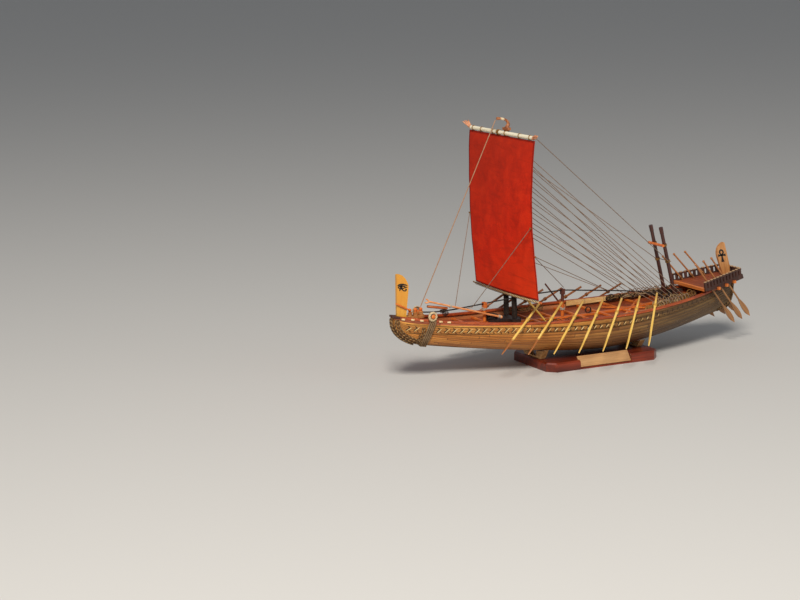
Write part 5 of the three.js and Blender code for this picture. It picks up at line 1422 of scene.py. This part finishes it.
bitt_turns = [helix((x, 0, 55.9), (0, 0, 1), 1.62, 4, 0.82) for x in (-167.8, -162.8, -157.8)]
lines("bitt_turns", bitt_turns, 0.8, bitt_gold, strands=3)
rope("bitt_coil", racetrack(-168.3, -157.3, 2.3, 52.0, 3.4, 0.82), 0.8, bitt_gold, "coiled", strands=3)
hang = [
    helix((-137.5, 0, 55.5), (1, 0, 0.01), 1.25, 6, 0.75),
    helix((-135.5, -0.5, 54.0), (1, 0.3, 0.2), 2.4, 4, 0.9),
]
lines("truss_turns", hang, 0.6, thread_dark)
knots = []
for z, face in ((SHEET_Z, 1), (BOWLINE_Z, -1)):
    knots += [helix(leech(z, side, face), (0.2, 0, 1), 0.72, 2.5, 0.5, 12) for side in (-1, 1)]
lines("sail_knots", knots, 0.5, thread_gold)
rope("mast_coil", racetrack(-93.6, -89.2, 2.5, MAST_COIL_Z, 2.6, 1.45), 1.5, truss_black, "coiled", strands=3)
boom_spiral = []
for i in range(BOOM_TURNS * BOOM_STEPS + 1):
    y = -51.5 + 103 * i / (BOOM_TURNS * BOOM_STEPS)
    a = math.tau * i / BOOM_STEPS
    boom_spiral.append(Vector((-77.4 + 1.22 * math.cos(a), y, boom_z(y) + 1.22 * math.sin(a))))
rope("boom_lacing", boom_spiral, 0.4, thread_umber)
crutch_route = [leech(SHEET_Z, -1, 1) + Vector((0.3, 0, -0.9)), Vector((-22.4, -0.9, 64.2))]
rope("crutch_line", crutch_route, 0.6, thread_brown)
upright = []
for a in np.linspace(-1.57, 17.3, 121):
    upright.append(Vector((2.5 + 2.5 * math.cos(a), 0.8 * a / math.tau - 1.2, 42.3 + 2.5 * math.sin(a))))
rope("standing_coil", upright, 0.55, thread_dark, "coiled")
print("turns and coils:", len(cords), "declared ropes so far")

# %% [markdown]
# The after deck is full of loose line. Each tangle is one rope in slow, uneven loops that drift
# along the rail and climb on each other. The loops come from a seeded random walk, so the same heap
# comes out each time.


# %% Tangles of line
def tangle(name, side, fore, aft, inner, outer, loops, diameter, finish, seed):
    chance = random.Random(seed)
    corners = []
    for i in range(loops + 1):
        drift = 0.5 - 0.5 * math.cos(math.pi * 3 * i / loops)
        x = fore + (aft - fore) * min(max(drift + chance.uniform(-0.15, 0.15), 0.04), 0.96)
        wide, tilt = chance.uniform(1.7, 2.7), chance.uniform(0.3, 1.3)
        corners.append((x, chance.uniform(outer, inner), chance.uniform(2.2, 4.4), wide, tilt))
    route = []
    for i in range(loops * 18):
        k, step = divmod(i, 18)
        share = step / 18
        smooth = share * share * (3 - 2 * share)
        x, inside, long, wide, tilt = (a + (b - a) * smooth for a, b in zip(corners[k], corners[k + 1]))
        angle = math.tau * share
        x += long * math.cos(angle)
        inside += wide * math.sin(angle) * math.cos(tilt)
        lift = wide * (1 + math.sin(angle)) * math.sin(tilt) * 1.3 + 0.4 * math.sin(k * 2.4)
        wall = half_breadth(x) - max(inside, 3.7)
        route.append(Vector((x, side * wall, beam_z(x) + 0.35 + diameter / 2 + max(lift, 0))))
    return rope(name, ease(route, 0.4), diameter, finish, "loose", lay=3.0)


# Name; fore and after end; widest and least distance from the side; loops; thickness; seed; finishes.
TANGLES = [
    ("fore", 42, 62, 8.0, 4.4, 14, 0.75, 11, thread_gold, thread_dark),
    ("mid", 56, 84, 8.5, 4.4, 18, 0.75, 21, thread_straw, thread_straw),
    ("aft", 74, 101, 12.0, 4.6, 18, 0.75, 33, thread_umber, thread_umber),
    ("heap", 80, 101, 19.0, 9.0, 14, 0.7, 47, thread_gold, thread_dark),
    ("rail", 46, 92, 7.0, 4.2, 20, 0.7, 53, thread_gold, thread_pale),
    ("mast", -58, -24, 7.0, 4.4, 16, 0.65, 41, thread_umber, thread_pale),
]
for side, word in ((-1, "port"), (1, "starboard")):
    for spot, fore, aft, inner, outer, loops, diameter, seed, port, starboard in TANGLES:
        finish = port if side < 0 else starboard
        tangle(f"tangle_{spot}_{word}", side, fore, aft, inner, outer, loops, diameter, finish, seed + side)
tangle("tangle_gallows", -1, 72, 98, 32.0, 18.0, 14, 0.7, thread_dark, 57)
tangle("tangle_inner", -1, 58, 90, 22.0, 10.0, 16, 0.7, thread_straw, 61)
for name, long, diameter in cords:
    print(f"{name}: {long} mm long, {diameter} mm thick")

# %% [markdown]
# A few loose pieces of wood lie about: a pale plank along each bulwark, a short pole beside the long
# one, and a yellow stick that leans on the truss rope behind the mast.


# %% Loose wood
def strip(side, fore, aft, count=24):
    """A thin plank on edge, against the inside of the cap rail."""
    points, faces = [], []
    for i in range(count):
        x = fore + (aft - fore) * i / (count - 1)
        y = half_breadth(x) - 2.6 - 0.3
        low, high = beam_z(x) + 0.25, rail_z(x) - 0.1
        ring = [(y, low), (y, high - 0.15), (y - 0.15, high)]
        ring += [(y - 0.75, high), (y - 0.9, high - 0.15), (y - 0.9, low)]
        points += [Vector((x, side * b, z)) * MM for b, z in ring]
    for i in range(count - 1):
        for k in range(6):
            a, b = i * 6 + k, i * 6 + (k + 1) % 6
            face = (a, b, b + 6, a + 6)
            faces.append(face if side < 0 else face[::-1])
    last = (count - 1) * 6
    ends = [tuple(range(5, -1, -1)), tuple(last + k for k in range(6))]
    return points, faces + (ends if side < 0 else [end[::-1] for end in ends])


def pole(start, end, radius, sides=12):
    start, end = Vector(start), Vector(end)
    long = (end - start).length
    shape = [(0, radius * 0.5), (0.25, radius * 0.9), (0.6, radius), (long * 0.5, radius * 1.05)]
    shape += [(long - 0.6, radius), (long - 0.2, radius * 0.85), (long, radius * 0.5)]
    return lathe(start, end - start, shape, sides)


pale = wood("plank_pale", "#ecc98d", "#d6aa69", "#a37a41", coarse=1.3)
joint = ((pale.along(AFT) - 3.0) / 18.3).math("FRACT")
joint = pale.band(abs(joint - 0.5), 0.493, 0.6, 0.003)
pale.paint(pale.mix(joint * 0.8, pale.colour, "#5a3a1c"), 0.55, pale.pores - joint, 0.1)
loose = [piece("bulwark_planks", solid("planks", [strip(-1, 3, 58), strip(1, 3, 58)]), pale)]
short = plain_wood("short_pole_wood", "#e08a4c", "#b9602c", "#7a3818", 0.45, 0.08, (1, 0, -0.15))
mesh = solid("pole", [pole((-151.6, 0.9, 60.6), (-133.5, -1.0, 57.5), 1.05)])
loose.append(piece("short_pole", mesh, short))
way = (-0.6, 0.3, 0.8)
stick = plain_wood("stick_yellow", "#ffe08a", "#f0c054", "#c79331", 0.42, 0.05, way, Coat_Weight=0.15)
mesh = solid("stick", [pole((-45.4, -10.0, 38.9), (-63.0, -1.6, 62.4), 0.85)])
loose.append(piece("leaning_stick", mesh, stick))
print("loose wood:", len(loose), "pieces")

# %% [markdown]
# The yard's ends are carved hands. The starboard one is open with its fingers apart, and the port
# one is closed. The fingers are thin pegs that taper and leave the palm like a fan.

# %% Fingers of the yard's hands
fingers = []
for side, long, spread, bend in ((1, 6.2, 0.42, 0.75), (-1, 3.4, 0.25, 0.2)):
    for k in range(4):
        fan = (k - 1.5) * spread
        root = Vector((-82.0 + (k - 1.5) * 0.75, side * 53.0, 199.2))
        way = Vector((-0.35 + fan * 0.5, side * 0.75, bend + 0.1 * (k % 2)))
        shape = [(0, 0.5), (long * 0.3, 0.62), (long * 0.6, 0.52), (long * 0.93, 0.42), (long, 0.2)]
        fingers.append(lathe(root, way, shape, 10))
flesh = plain_wood("hand_wood", "#e3a780", "#cf8c63", "#a5623f", 0.5, 0.05, STARBOARD)
piece("yard_fingers", solid("fingers", fingers), flesh)
print("fingers:", len(fingers))

# %% [markdown]
# The stage is a pale floor under soft daylight, with one broad lamp from the bow side, where the
# light comes from in the picture, and a faint one from the port quarter that lifts the shadows.
# Lamps and world together are set so that a colour shows about as it is painted.


# %% Stage and light
far = 60
corners = [(-far, -far, 0), (far, -far, 0), (far, far, 0), (-far, far, 0)]
floor = add_object("floor", new_mesh("floor", corners, [], [(0, 1, 2, 3)]))
ground = Finish("pale_floor")
ground.paint(tone("#cfcdc9"), 0.9, Specular_IOR_Level=0.2)
floor.data.materials.append(ground.material)

world = bpy.data.worlds.new("daylight")
bpy.context.scene.world = world
world.use_nodes = True
air = Nodes(world.node_tree)
sky = world.node_tree.nodes["Background"]
seen = air.node("ShaderNodeLightPath")
hue = air.mix(seen, (0.22, 0.23, 0.245, 1), (0.22, 0.24, 0.25, 1))
air.tree.links.new(hue.socket, sky.inputs["Color"])
sky.inputs["Strength"].default_value = 1.0


def lamp(name, place, aim, size, power, colour=(1, 1, 1)):
    data = bpy.data.lights.new(name, "AREA")
    data.energy, data.size, data.color = power, size, colour
    made = add_object(name, data)
    made.location = place
    made.rotation_mode = "QUATERNION"
    made.rotation_quaternion = (Vector(aim) - Vector(place)).to_track_quat("-Z", "Y")


lamp("window", (-1.05, -1.55, 1.75), (0, 0, 0.07), 0.7, 60.0, (1.0, 0.95, 0.88))
lamp("fill", (1.5, -1.7, 0.8), (0, 0, 0.08), 1.2, 3.0, (0.92, 0.96, 1.0))
bpy.context.scene.view_settings.view_transform = "Standard"
